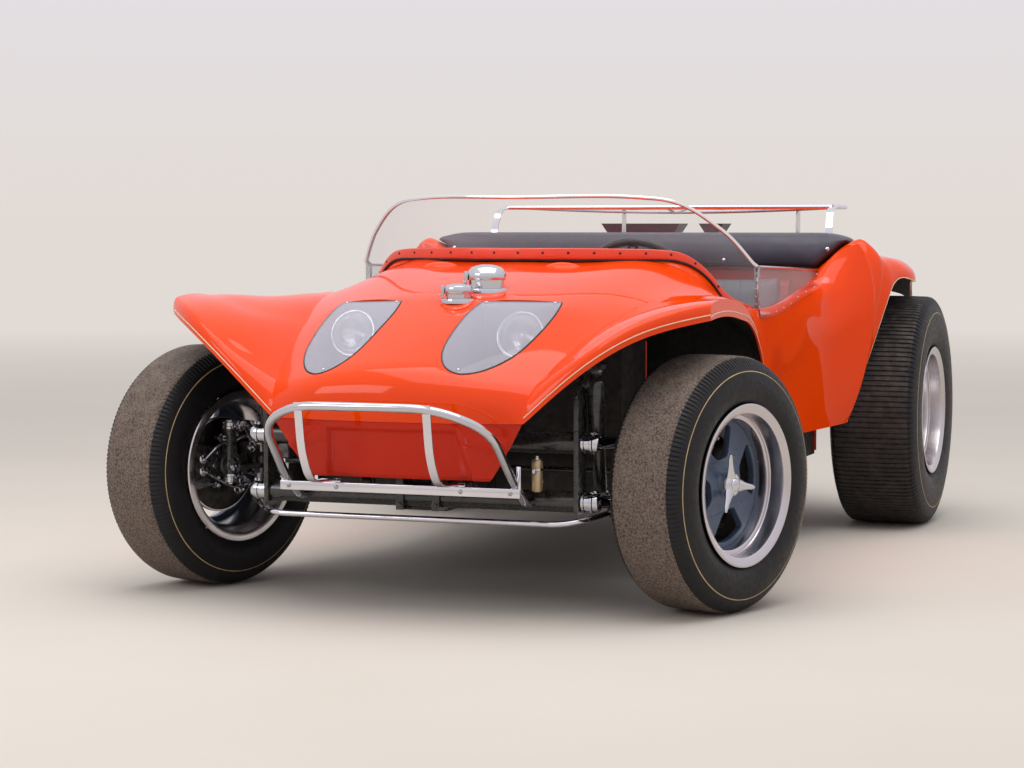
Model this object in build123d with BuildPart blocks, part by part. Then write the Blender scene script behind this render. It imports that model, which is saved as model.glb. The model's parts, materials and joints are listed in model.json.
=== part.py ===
"""Open dune buggy with a moulded body on a shortened rear-engined platform.

Units are millimetres and degrees.  The origin lies on the ground under the middle of
the wheelbase.  The front faces -Y, the vehicle's left is +X and up is +Z.
"""
from build123d import *
from math import asin, cos, hypot, radians, sin, tan
import os

os.makedirs("parts", exist_ok=True)

# Platform
wheelbase = 2032.0
axle_front_y = -wheelbase / 2
axle_rear_y = wheelbase / 2
track_front = 1445.0
track_rear = 1567.0
kingpin_inset = 60.0
steer_at_rest = 18.0
running_gap = 0.3
ground_clearance = 250.0

# Tyres and rims: overall radius, tread half width, sidewall half width and its radius
tyre_front_r = 330.0
tyre_rear_r = 377.4
tread_front = 72.0
tread_rear = 120.0
bulge_front = 115.0
bulge_rear = 145.0
bulge_front_r = 250.0
bulge_rear_r = 285.0
bead_in = 8.3
bead_r = 190.5
flange_r = 208.0
rim_front_half = 112.0
rim_rear_half = 137.0
rim_wall = 7.0
rim_step_r = 172.0
spoke_depth = 20.0
spoke_reach_front = 20.0
spoke_reach_rear = 22.0
hub_r = 46.0
hub_over = 12.0
spoke_count = 4
window_in_r = 74.0
window_out_r = 150.0
window_in_half = 23.0
window_out_half = 58.0
window_bend = 15.0
spinner_r = 24.0
spinner_ear = 70.0
spinner_ear_wide = 15.0
spinner_thick = 15.0
spinner_turn = 111.0
spindle_r = 17.0

# Front axle
beam_y = -1235.0
beam_low_z = 290.0
beam_gap_z = 150.0
beam_tube_r = 27.0
beam_half = 425.0
arm_root_x = 455.0
arm_r = 17.0
arm_end_x = 590.0
pin_r = 12.0
lug_r = 22.0
lug_thick = 18.0
hub_z_front = tyre_front_r
tower_x = 470.0
tower_top_z = 640.0
tower_wall = 12.0
disc_r = 130.0
disc_thick = 11.0
disc_offset = -22.0
bell_r = 62.0
steer_arm = 112.0
steer_arm_z = 314.0
steer_arm_thick = 13.0

# Body
wall = 8.0
fan_apex_y = -2993.0
crease_angle = 12.29
deck_half = 606.0
deck_gap = 1.3

# Screen
screen_r = 749.0
screen_y = 254.0
screen_wall = 5.0
strip_wall = 6.0
post_y = -150.0

# Cockpit
tunnel_half = 75.0
tunnel_z = 400.0
frame_head_z = 320.0
seat_x = 300.0
wheel_centre = (210.0, 0.0, 795.0)
wheel_ring_r = 165.0
wheel_grip_r = 13.0
boss_r = 34.0
boss_deep = 22.0
boss_shaft_r = 15.0
boss_spoke = 24.0
column_tilt = 28.0


def export(node, name):
    """Label a finished piece and write it."""
    node.part.label = name
    export_step(node.part, f"parts/{name}.step")


def rod(start, end, radius):
    """Round bar from start to end."""
    way = Vector(*end) - Vector(*start)
    with BuildPart() as bar:
        with BuildSketch(Plane(origin=start, z_dir=way)):
            Circle(radius)
        extrude(amount=way.length)
    return bar.part


def ring_on(start, end, outer, inner):
    """Round sleeve from start to end."""
    way = Vector(*end) - Vector(*start)
    with BuildPart() as sleeve:
        with BuildSketch(Plane(origin=start, z_dir=way)):
            Circle(outer)
            Circle(inner, mode=Mode.SUBTRACT)
        extrude(amount=way.length)
    return sleeve.part


def tube(points, bend, radius):
    """Round tube along straight runs joined by bends of one radius."""
    with BuildPart() as pipe:
        with BuildLine() as path:
            FilletPolyline(*points, radius=bend)
        with BuildSketch(Plane(origin=path.line @ 0, z_dir=path.line % 0)):
            Circle(radius)
        sweep(path=path.line)
    return pipe.part


def block(low, high):
    """Box between two corners."""
    size = [b - a for a, b in zip(low, high)]
    with BuildPart() as box:
        with Locations(tuple((a + b) / 2 for a, b in zip(low, high))):
            Box(*size)
    return box.part


def plate(plane, outline, thick, round_by=0.0):
    """Flat plate from an outline drawn on a plane, extruded along the plane's normal."""
    with BuildPart() as sheet_part:
        with BuildSketch(plane):
            with BuildLine():
                Polyline(*outline, close=True)
            make_face()
            if round_by:
                fillet(vertices(), radius=round_by)
        extrude(amount=thick)
    return sheet_part.part


def shifted(points, depth):
    """The same run of points moved to its right hand side by depth."""
    moved = []
    for i, (a, b) in enumerate(points):
        before = points[max(i - 1, 0)]
        after = points[min(i + 1, len(points) - 1)]
        run = (after[0] - before[0], after[1] - before[1])
        size = hypot(*run)
        moved.append((a + depth * run[1] / size, b - depth * run[0] / size))
    return moved


def band(plane, knots, depth):
    """Face between an outer run of arcs and the same run moved inward by depth.

    The knots are seven points in the plane's own axes: three arcs, each by its
    start, middle and end, where one arc's end is the next one's start.
    """
    inner = shifted(knots, depth)
    with BuildSketch(plane) as section:
        with BuildLine():
            for i in (0, 2, 4):
                ThreePointArc(knots[i], knots[i + 1], knots[i + 2])
            Line(knots[-1], inner[-1])
            for i in (6, 4, 2):
                ThreePointArc(inner[i], inner[i - 1], inner[i - 2])
            Line(inner[0], knots[0])
        make_face()
    return section.sketch


def fan_plane(angle):
    """Upright plane through the fan's apex; its x runs rearward and its y runs up."""
    away = (sin(radians(angle)), cos(radians(angle)), 0)
    return Plane(origin=(0, fan_apex_y, 0), x_dir=away, z_dir=(away[1], -away[0], 0))


def fan_knots(angle, knots):
    """Turn (y, z) knots into distances from the apex within a fan plane."""
    return [((y - fan_apex_y) / cos(radians(angle)), z) for y, z in knots]


# Hood: half of a fan of upright slices.  Each row is (angle, seven (y, z) knots):
# nose lower edge, nose front, nose top, hood, lamp rear, hood, screen base.
hood_slices = [
    (0.0, [(-1474, 500), (-1484, 574), (-1446, 633), (-1240, 724), (-1035, 800),
           (-770, 850), (-470, 888)]),
    (5.0, [(-1466, 500), (-1476, 568), (-1440, 624), (-1235, 717), (-1035, 793),
           (-770, 843), (-455, 886)]),
    (9.5, [(-1443, 500), (-1450, 552), (-1410, 604), (-1215, 694), (-1025, 768),
           (-765, 820), (-370, 866)]),
    (crease_angle, [(-1418, 500), (-1400, 556), (-1344, 600), (-1180, 676), (-995, 738),
                    (-770, 788), (-330, 762)]),
]
hood_fan = [(-a, k) for a, k in reversed(hood_slices[1:])] + hood_slices

# Lamp covers: long D shapes seen from above, straight at the rear, round at the front
lamp_rear = ((123.0, -1038.0), (296.0, -1031.0))
lamp_side = ((116.0, -1330.0), (286.0, -1328.0))
lamp_tip = (201.0, -1447.0)
cover_wall = 3.0
bowl_floor_z = 545.0


def lamp_prism(inset, low, high):
    """Left lamp outline moved in by inset and raised between two levels."""
    with BuildPart() as prism:
        with BuildSketch(Plane.XY.offset(low)):
            with BuildLine():
                Polyline(lamp_side[0], lamp_rear[0], lamp_rear[1], lamp_side[1])
                ThreePointArc(lamp_side[1], lamp_tip, lamp_side[0])
            make_face()
            if inset:
                offset(amount=-inset, mode=Mode.REPLACE)
        extrude(amount=high - low)
    return prism.part


def both(solid):
    """A left-hand solid and its mirror image."""
    with BuildPart() as pair:
        add(solid)
        mirror(solid, about=Plane.YZ)
    return pair.part


def fan_above(depth, top):
    """Solid over the hood's surface moved inward by depth, up to a level."""
    faces_over = []
    for angle, knots in hood_fan:
        run = shifted(fan_knots(angle, knots), depth)
        with BuildSketch(fan_plane(angle)) as section:
            with BuildLine():
                for i in (0, 2, 4):
                    ThreePointArc(run[i], run[i + 1], run[i + 2])
                Polyline(run[-1], (run[-1][0], top), (run[0][0] - 40, top),
                         (run[0][0] - 40, run[0][1]), run[0])
            make_face()
        faces_over.append(section.sketch)
    with BuildPart() as over:
        loft(sections=faces_over)
    return over.part


with BuildPart() as hood:
    loft(sections=[band(fan_plane(a), fan_knots(a, k), wall) for a, k in hood_fan])
    add(both(lamp_prism(0, 500, 900)), mode=Mode.SUBTRACT)
export(hood, "hood")

with BuildPart() as lamp_covers:
    loft(sections=[band(fan_plane(a), fan_knots(a, k), cover_wall) for a, k in hood_fan])
    add(both(lamp_prism(running_gap, 500, 900)), mode=Mode.INTERSECT)
export(lamp_covers, "lamp_covers")

lamp_at = (203.0, -1215.0, 630.0)
lamp_r = 70.0
with BuildPart() as lamp_left:
    add(lamp_prism(running_gap, bowl_floor_z, 900))
    add(lamp_prism(running_gap + cover_wall, bowl_floor_z + cover_wall, 900), mode=Mode.SUBTRACT)
    with BuildSketch(Plane(origin=(lamp_at[0], lamp_at[1] + 55, lamp_at[2]), x_dir=(1, 0, 0),
                           z_dir=(0, -1, 0.45))):
        Circle(lamp_r - 6)
    extrude(amount=60, taper=-6)
    add(block((lamp_at[0] - 20, lamp_at[1] + 5, bowl_floor_z), (lamp_at[0] + 20, lamp_at[1] + 45, 600)))
    add(fan_above(wall + 0.2, 1000), mode=Mode.SUBTRACT)
with BuildPart() as headlamps:
    add(both(lamp_left.part))
export(headlamps, "headlamps")


# Front fender, left: upright slices between the crease and the outer edge.  Each row is
# (x at the reference station, angle, seven (y, z) knots): lip lower edge, lip, top
# corner, facet, crest, fall, rear end.
fender_ref_y = -1418.0
crease_x = tan(radians(crease_angle)) * (fender_ref_y - fan_apex_y)
fender_slices = [
    (crease_x, crease_angle, hood_slices[3][1]),
    (479.0, 8.2, [(-1394, 622), (-1394, 650), (-1368, 676), (-1275, 722), (-1130, 756),
                  (-860, 792), (-560, 784)]),
    (616.0, 4.1, [(-1318, 712), (-1320, 738), (-1296, 762), (-1200, 782), (-1090, 792),
                  (-850, 790), (-560, 700)]),
    (752.0, 0.0, [(-1165, 752), (-1167, 778), (-1140, 797), (-1060, 803), (-960, 798),
                  (-780, 758), (-590, 560)]),
]
fender_end_y = -620.0
side_end_y = 612.0


def fender_plane(x_ref, angle):
    """Upright plane through the reference station; its x runs rearward."""
    away = (sin(radians(angle)), cos(radians(angle)), 0)
    return Plane(origin=(x_ref, fender_ref_y, 0), x_dir=away,
                 z_dir=(away[1], -away[0], 0))


def fender_knots(angle, knots):
    """Turn (y, z) knots into distances from the reference station."""
    return [((y - fender_ref_y) / cos(radians(angle)), z) for y, z in knots]


# Lower line of the outer lip, (y, z) knots of two arcs from its rear end forward
lip_line = [(-590, 515), (-712, 702), (-845, 741), (-1000, 757), (-1165, 752)]

with BuildPart() as front_fender_left:
    loft(sections=[band(fender_plane(x, a), fender_knots(a, k), wall)
                   for x, a, k in fender_slices])
    outer_x, outer_angle, outer_knots = fender_slices[-1]
    outer_run = fender_knots(outer_angle, outer_knots)
    lip_run = fender_knots(outer_angle, lip_line)
    with BuildSketch(fender_plane(outer_x - wall, outer_angle)):
        with BuildLine():
            for i in (0, 2, 4):
                ThreePointArc(outer_run[i], outer_run[i + 1], outer_run[i + 2])
            Line(outer_run[-1], lip_run[0])
            for i in (0, 2):
                ThreePointArc(lip_run[i], lip_run[i + 1], lip_run[i + 2])
        make_face()
    extrude(amount=wall)
    behind = [(300, fender_end_y), (900, fender_end_y), (900, 0), (300, 0)]
    add(plate(Plane.XY.offset(400), behind, 500), mode=Mode.SUBTRACT)

# Cockpit side, left: cross sections along the body.  Each row is (y, seven (x, z)
# knots): inner rail, rail, shoulder, wall, waist, wall, rocker.
side_sections = [
    (fender_end_y, [(512, 792), (590, 797), (665, 782), (722, 735), (740, 640),
                    (742, 480), (728, 345)]),
    (-450.0, [(548, 780), (596, 786), (640, 765), (676, 710), (688, 620),
              (688, 470), (672, 345)]),
    (post_y, [(596, 748), (608, 750), (620, 738), (622, 660), (612, 560),
              (602, 440), (612, 345)]),
    (200.0, [(596, 746), (609, 750), (622, 738), (624, 665), (614, 570),
             (604, 440), (614, 345)]),
    (450.0, [(596, 792), (616, 796), (636, 782), (656, 700), (656, 600),
             (648, 450), (642, 345)]),
    (560.0, [(600, 822), (626, 834), (662, 826), (712, 752), (724, 650),
             (706, 480), (680, 352)]),
    (side_end_y, [(606, 936), (684, 950), (750, 936), (790, 830), (794, 685),
                  (768, 510), (714, 360)]),
]


def cross_plane(y):
    """Upright plane across the body; its x runs to the left and its y runs up."""
    return Plane(origin=(0, y, 0), x_dir=(1, 0, 0), z_dir=(0, -1, 0))


def crease_at(y):
    """Distance of the crease from the centre line."""
    return tan(radians(crease_angle)) * (y - fan_apex_y)


hood_edge_y = -330.0
with BuildPart() as side_left:
    loft(sections=[band(cross_plane(y), k, wall) for y, k in side_sections])
    arch_back = [(590, 345), (735, 345), (735, 640), (660, 772), (590, 780)]
    add(plate(cross_plane(fender_end_y + wall), arch_back, wall))
    hood_side = [(400, fender_end_y - 20), (crease_at(fender_end_y - 20), fender_end_y - 20),
                 (crease_at(hood_edge_y), hood_edge_y), (400, hood_edge_y)]
    add(plate(Plane.XY.offset(700), hood_side, 200), mode=Mode.SUBTRACT)

# Rear fender, left: cross sections over the tyre, same columns as the side.
rear_sections = [
    side_sections[-1],
    (642.0, [(606, 934), (690, 944), (766, 920), (804, 850), (810, 760),
             (806, 670), (790, 606)]),
    (710.0, [(606, 926), (700, 928), (785, 894), (824, 864), (838, 834),
             (843, 815), (842, 800)]),
    (850.0, [(606, 908), (700, 900), (790, 884), (846, 866), (870, 842),
             (877, 824), (877, 808)]),
    (1016.0, [(606, 890), (690, 886), (770, 876), (822, 860), (842, 838),
              (847, 822), (846, 804)]),
    (1250.0, [(606, 836), (680, 836), (745, 826), (780, 808), (794, 786),
              (798, 768), (797, 750)]),
    (1400.0, [(606, 768), (670, 768), (720, 758), (752, 742), (766, 718),
              (770, 698), (769, 676)]),
]
with BuildPart() as rear_fender_left:
    loft(sections=[band(cross_plane(y), k, wall) for y, k in rear_sections])

for panel, name in ((front_fender_left, "front_fender"), (side_left, "side"),
                    (rear_fender_left, "rear_fender")):
    with BuildPart() as other:
        mirror(panel.part, about=Plane.YZ)
    export(panel, f"{name}_left")
    export(other, f"{name}_right")

# Chin: rolled panel under the nose with a shallow recess, bands in level planes.
# Each row is (z, front y at the centre, front y at the side, half width).  The shelf on
# top of it is given by its front corner, its rear corner and its front y at the centre.
chin_shelf = ((330.0, -1409.0), (320.0, -1362.0), -1464.0)
chin_levels = [(497.8, -1470.0, -1412.0, 338.0), (420.0, -1440.0, -1400.0, 296.0),
               (350.0, -1404.0, -1385.0, 246.0)]
with BuildPart() as chin:
    for level, mid_y, side_y, half in chin_levels:
        with BuildSketch(Plane.XY.offset(level)):
            with BuildLine():
                ThreePointArc((-half, side_y), (0, mid_y), (half, side_y))
                Line((half, side_y), (half, side_y + wall))
                ThreePointArc((half, side_y + wall), (0, mid_y + wall), (-half, side_y + wall))
                Line((-half, side_y + wall), (-half, side_y))
            make_face()
    loft()
    with BuildSketch(Plane.XY.offset(chin_levels[0][0] - wall)):
        with BuildLine():
            corner, back, mid_y = chin_shelf
            ThreePointArc((-corner[0], corner[1]), (0, mid_y), corner)
            Polyline(corner, back, (-back[0], back[1]), (-corner[0], corner[1]))
        make_face()
    extrude(amount=wall)
export(chin, "chin")

# Deck behind the cockpit with the wheelhouse walls and the tail panel
deck_front_y = 800.0
tail_y = 1330.0
bulkhead_y = 700.0
deck_run = [(bulkhead_y, 848), (deck_front_y, 848), (deck_front_y, 934), (1000, 912),
            (1240, 872), (tail_y, 800), (tail_y, 690)]
with BuildPart() as rear_deck:
    with BuildSketch(Plane.YZ.offset(-deck_half + deck_gap)):
        with BuildLine():
            FilletPolyline(*deck_run, radius=18)
            offset(amount=wall / 2)
        make_face()
    extrude(amount=2 * (deck_half - deck_gap))
    house_wall = [(side_end_y + 100, 470), (deck_front_y, 470), (900, 640), (1200, 700),
                  (tail_y, 700), (tail_y - 4, 798), (1238, 871), (1000, 911),
                  (deck_front_y + 4, 932), (deck_front_y, 848), (side_end_y + 100, 848)]
    for x in (-deck_half + deck_gap, deck_half - deck_gap - wall):
        add(plate(Plane.YZ.offset(x), house_wall, wall))
export(rear_deck, "rear_deck")

# Floor pan: floor, tunnel, sills, toe board and bulkhead
toe_y = -850.0
sill_x = 590.0
foot_x = 420.0
frame_head_y = beam_y + beam_tube_r + running_gap
with BuildPart() as floor_pan:
    outline = [(-foot_x, toe_y), (foot_x, toe_y), (foot_x, -640), (sill_x, -560),
               (sill_x, bulkhead_y), (-sill_x, bulkhead_y), (-sill_x, -560), (-foot_x, -640)]
    add(plate(Plane.XY.offset(ground_clearance), outline, wall))
    tunnel = [(-tunnel_half, ground_clearance), (-tunnel_half + 20, tunnel_z),
              (tunnel_half - 20, tunnel_z), (tunnel_half, ground_clearance)]
    with BuildSketch(Plane.XZ.offset(-toe_y)):
        with BuildLine():
            Polyline(*tunnel, close=True)
        make_face()
        fillet(vertices().group_by(Axis.Y)[-1], radius=18)
    extrude(amount=-(bulkhead_y - toe_y))
    add(block((-60, frame_head_y, ground_clearance), (60, toe_y, frame_head_z)))
    for x in (-sill_x, sill_x - wall):
        add(block((x, -560, ground_clearance), (x + wall, bulkhead_y, 340)))
    for x in (-foot_x, foot_x - wall):
        add(block((x, toe_y, ground_clearance), (x + wall, -630, 700)))
    add(block((-foot_x, toe_y, ground_clearance), (foot_x, toe_y + wall, 700)))
    add(block((-sill_x, bulkhead_y - wall, ground_clearance), (sill_x, bulkhead_y, 843)))
export(floor_pan, "floor_pan")

# Padded roll behind the seats
pad_half = 598.0
pad_bend = 20.0
pad_side = [(642, 858), (645, 905), (700, 962), (795, 956), (795, 874), (774, 852.6), (700, 852.6)]
with BuildPart() as coaming_pad:
    with BuildSketch(Plane.YZ.offset(-pad_half)):
        with BuildLine():
            Polyline(*pad_side, close=True)
        make_face()
        fillet(vertices().group_by(Axis.Y)[-1], radius=pad_bend)
    extrude(amount=2 * pad_half)
export(coaming_pad, "coaming_pad")

# Dashboard: arched panel hung under the cowl, with a hood in front of it and two gauges
dash_y = -300.0
dash_thick = 10.0
dash_top = [(-530, 760), (0, 885), (530, 760)]
dash_low = [(505, 690), (0, 716), (-505, 690)]
cowl_low = [(528, 752), (0, 877), (-528, 752)]
cowl_deep = 260.0
gauge_z = 800.0
gauge_r = 38.0
gauge_deep = 6.0


def arched_face(low):
    """Upright face between the dashboard's upper arc and a lower one."""
    with BuildSketch(Plane.XZ.offset(-dash_y)) as face_of_dash:
        with BuildLine():
            ThreePointArc(*dash_top)
            Line(dash_top[-1], low[0])
            ThreePointArc(*low)
            Line(low[-1], dash_top[0])
        make_face()
    return face_of_dash.sketch


with BuildPart() as dashboard:
    extrude(arched_face(dash_low), amount=dash_thick)
    extrude(arched_face(cowl_low), amount=cowl_deep)
    add(fan_above(wall + running_gap, 1000), mode=Mode.SUBTRACT)
    for x in (wheel_centre[0] - 50, wheel_centre[0] + 60):
        with BuildSketch(Plane.XZ.offset(-dash_y)):
            with Locations((x, gauge_z)):
                Circle(gauge_r)
        extrude(amount=-gauge_deep)
export(dashboard, "dashboard")

# Wrap-round screen cut from an upright ring
trim_z = 1067.0
post_top = (612.0, 869.0)
post_foot = (609.0, 753.0)
screen_end_y = post_y + 4
screen_back = 1000.0


def screen_ring(outer, thick):
    """Front half of an upright ring on the screen's centre."""
    with BuildPart() as band_ring:
        with BuildSketch(Plane.XY.offset(600)):
            with Locations((0, screen_y)):
                Circle(outer)
                Circle(outer - thick, mode=Mode.SUBTRACT)
            with Locations((0, screen_end_y + screen_back / 2)):
                Rectangle(4 * screen_r, screen_back, mode=Mode.SUBTRACT)
        extrude(amount=600)
    return band_ring.part


def front_view(right_side):
    """Upright prism whose front view is the given half outline and its mirror."""
    with BuildPart() as prism:
        with BuildSketch(Plane.XZ):
            with BuildLine():
                for run in right_side:
                    if len(run) == 2:
                        Line(*run)
                    else:
                        ThreePointArc(*run)
                mirror(about=Plane.YZ)
            make_face()
        extrude(amount=900)
    return prism.part


screen_low = [((0, 926), (375, 923)), ((375, 923), (480, 884), (545, 798)),
              ((545, 798), post_foot)]
screen_edge = [((0, trim_z), (330, trim_z)), ((330, trim_z), (500, 1006), post_top)]
strip_low = [((0, 893), (372, 893)), ((372, 893), (478, 866), (541, 777)),
             ((541, 777), (585, 758))]
sides_raised = both(side_left.part).moved(Location((0, 0, running_gap)))
with BuildPart() as windshield:
    add(screen_ring(screen_r, screen_wall))
    add(front_view(screen_edge + [(post_top, post_foot)] + screen_low), mode=Mode.INTERSECT)
    add(sides_raised, mode=Mode.SUBTRACT)
export(windshield, "windshield")

with BuildPart() as windshield_strip:
    add(screen_ring(screen_r + 0.3 + strip_wall, strip_wall))
    strip_top = [((0, 929), (377, 926)), ((377, 926), (483, 887), (549, 801)),
                 ((549, 801), (591, 772))]
    add(front_view(strip_top + [((591, 772), (585, 758))] + strip_low), mode=Mode.INTERSECT)
export(windshield_strip, "windshield_strip")

# Bright trim round the screen's upper edge, down to the side posts
with BuildPart() as windshield_trim:
    cap_edge = [((0, trim_z + 12), (332, trim_z + 12)),
                ((332, trim_z + 12), (508, 1015), (626, 871)), ((626, 871), (622, 753)),
                ((622, 753), post_foot), (post_foot, post_top)]
    add(screen_ring(screen_r + 3, screen_wall + 6))
    add(front_view(cap_edge + screen_edge), mode=Mode.INTERSECT)
    add(sides_raised, mode=Mode.SUBTRACT)
export(windshield_trim, "windshield_trim")

# Side window with its riveted foot along the cockpit rail
pane_x = 609.0
pane_wall = 4.0
with BuildPart() as side_window_left:
    with BuildSketch(Plane.YZ.offset(pane_x)):
        with BuildLine():
            Polyline((560, 846), (post_y + 12, 868), (post_y + 12, 747), (200, 748), (320, 770),
                     (450, 791), (540, 818), (560, 846))
        make_face()
    extrude(amount=pane_wall)
    add(sides_raised, mode=Mode.SUBTRACT)
with BuildPart() as side_window_right:
    mirror(side_window_left.part, about=Plane.YZ)
export(side_window_left, "side_window_left")
export(side_window_right, "side_window_right")

# Tyres and wheels, turned about the wheel's own axis, which is X here
def tyre_face(radius, tread, bulge, bulge_at, bead_half):
    """Section of a tyre; x runs across the tyre and y away from the axle."""
    fall = radius - bulge_at
    bend = ((bulge - tread) ** 2 + fall ** 2) / (2 * (bulge - tread))
    half_turn = asin(min(fall / bend, 1)) / 2
    waist = (0.8 * bulge + 0.2 * bead_half, (bulge_at + flange_r) / 2)
    shoulder = (bulge - bend * (1 - cos(half_turn)), bulge_at + bend * sin(half_turn))
    with BuildSketch() as section:
        with BuildLine():
            Line((-tread, radius), (tread, radius))
            ThreePointArc((tread, radius), shoulder, (bulge, bulge_at))
            ThreePointArc((bulge, bulge_at), waist, (bead_half, flange_r + 1))
            Polyline((bead_half, flange_r + 1), (bead_half, bead_r + running_gap),
                     (-bead_half, bead_r + running_gap), (-bead_half, flange_r + 1))
            ThreePointArc((-bead_half, flange_r + 1), (-waist[0], waist[1]), (-bulge, bulge_at))
            ThreePointArc((-bulge, bulge_at), (-shoulder[0], shoulder[1]), (-tread, radius))
        make_face()
    return section.sketch


def tyre(radius, tread, bulge, bulge_at, bead_half):
    """Tyre about the X axis, middle on the origin."""
    with BuildPart() as solid:
        add(tyre_face(radius, tread, bulge, bulge_at, bead_half))
        revolve(axis=Axis.X)
    return solid.part


def wheel_window():
    """Window of a wheel's web, wider towards the rim; its inner edge lies on the origin."""
    deep = window_out_r - window_in_r
    with BuildSketch() as opening:
        with BuildLine():
            Polyline((0, -window_in_half), (deep, -window_out_half), (deep, window_out_half),
                     (0, window_in_half), close=True)
        make_face()
        fillet(vertices(), radius=window_bend)
    return opening.sketch


def wheel(half, reach, bore):
    """Rim, four spokes and three-eared knock-off; the outer side faces +X."""
    seat = bead_r
    profile = [(half, flange_r), (half, flange_r - 5), (half - 10, seat - rim_wall),
               (half - 34, seat - rim_wall), (half - 44, rim_step_r - rim_wall),
               (12 - half, rim_step_r - rim_wall), (4 - half, seat - rim_wall), (-half, flange_r - 5),
               (-half, flange_r), (8 - half, flange_r), (8 - half, seat), (40 - half, seat),
               (50 - half, rim_step_r), (half - 50, rim_step_r), (half - 40, seat),
               (half - 8, seat), (half - 8, flange_r)]
    with BuildPart() as solid:
        with BuildSketch(Plane.XY):
            with BuildLine():
                Polyline(*profile, close=True)
            make_face()
        revolve(axis=Axis.X)
        with BuildSketch(Plane.YZ.offset(reach)):
            Circle(rim_step_r - rim_wall + 1)
            with PolarLocations(window_in_r, spoke_count):
                add(wheel_window(), mode=Mode.SUBTRACT)
        extrude(amount=spoke_depth)
        with BuildSketch(Plane.YZ.offset(reach - hub_over)):
            Circle(hub_r)
        extrude(amount=spoke_depth + 2 * hub_over)
        with BuildSketch(Plane.YZ.offset(reach + spoke_depth + hub_over)):
            Circle(spinner_r)
            with PolarLocations(spinner_ear / 2, 3, start_angle=spinner_turn):
                Rectangle(spinner_ear, spinner_ear_wide)
        extrude(amount=spinner_thick)
        with BuildSketch(Plane.YZ.offset(reach - hub_over)):
            Circle(bore)
        extrude(amount=spoke_depth + hub_over + 2, mode=Mode.SUBTRACT)
    return solid.part


def disc(offset_x):
    """Brake disc with its bell, bored for the spindle."""
    with BuildPart() as solid:
        with BuildSketch(Plane.YZ.offset(offset_x)):
            Circle(disc_r)
            Circle(spindle_r + running_gap, mode=Mode.SUBTRACT)
        extrude(amount=disc_thick)
        with BuildSketch(Plane.YZ.offset(offset_x + disc_thick)):
            Circle(bell_r)
            Circle(spindle_r + running_gap, mode=Mode.SUBTRACT)
        extrude(amount=spoke_reach_front - hub_over - offset_x - disc_thick)
    return solid.part


kingpin_x = track_front / 2 - kingpin_inset
wheel_x_rear = track_rear / 2
rear_spec = (tyre_rear_r, tread_rear, bulge_rear, bulge_rear_r, rim_rear_half - bead_in)
front_spec = (tyre_front_r, tread_front, bulge_front, bulge_front_r, rim_front_half - bead_in)


def to_front(solid, side):
    """Front wheel piece in its place, mirrored for the right and steered at rest."""
    if side < 0:
        solid = solid.mirror(Plane.YZ)
    place = Location((side * track_front / 2, axle_front_y, hub_z_front))
    kingpin = Axis((side * kingpin_x, axle_front_y, 0), (0, 0, 1))
    return solid.moved(place).rotate(kingpin, -steer_at_rest)


def to_rear(solid, side):
    """Rear wheel piece in its place, mirrored for the right."""
    if side < 0:
        solid = solid.mirror(Plane.YZ)
    return solid.moved(Location((side * wheel_x_rear, axle_rear_y, tyre_rear_r)))


# Knuckle and caliper outlines, from the wheel's middle: plan of the steering arm, then
# (y, z) of the caliper's carrier, its bridge over the disc and its outer half
knuckle_r = 21.0
stub_r = 30.0
arm_plan = [(20 - kingpin_inset, 12), (-14 - kingpin_inset, 17),
            (-28 - kingpin_inset, steer_arm + 8), (-4 - kingpin_inset, steer_arm + 10)]
bridge_in = -disc_r - 4
bridge_out = -disc_r - 18
carrier = [(-26, -50), (-26, 50), (-120, 62), (-152, 40), (-152, -40), (-120, -62)]
bridge = [(bridge_in, -42), (bridge_in, 42), (bridge_out, 40), (bridge_out, -40)]
outer_half = [(-96, -38), (-96, 38), (bridge_out, 40), (bridge_out, -40)]
carrier_thick = 22.0
bridge_thick = 62.0
outer_thick = 13.0


def wheel_side(x):
    """Upright plane along the wheel; its x runs rearward and its normal runs outward."""
    return Plane(origin=(x, 0, 0), x_dir=(0, 1, 0), z_dir=(1, 0, 0))


def knuckle():
    """Left knuckle on its kingpin, with spindle, steering arm and brake caliper."""
    low = beam_low_z + lug_thick / 2 + running_gap - hub_z_front
    high = beam_low_z + beam_gap_z - lug_thick / 2 - running_gap - hub_z_front
    root = (-kingpin_inset + pin_r + 4, 0, 0)
    with BuildPart() as solid:
        add(ring_on((-kingpin_inset, 0, low), (-kingpin_inset, 0, high), knuckle_r,
                    pin_r + running_gap))
        add(rod(root, (spoke_reach_front - 1, 0, 0), spindle_r))
        add(rod(root, (disc_offset - 3, 0, 0), stub_r))
        add(plate(Plane.XY.offset(steer_arm_z - hub_z_front), arm_plan, steer_arm_thick, 4))
        add(plate(wheel_side(disc_offset - 26), carrier, carrier_thick, 8))
        add(plate(wheel_side(disc_offset - 26), bridge, bridge_thick, 3))
        add(plate(wheel_side(disc_offset + disc_thick + 4), outer_half, outer_thick, 5))
    return solid.part


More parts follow.
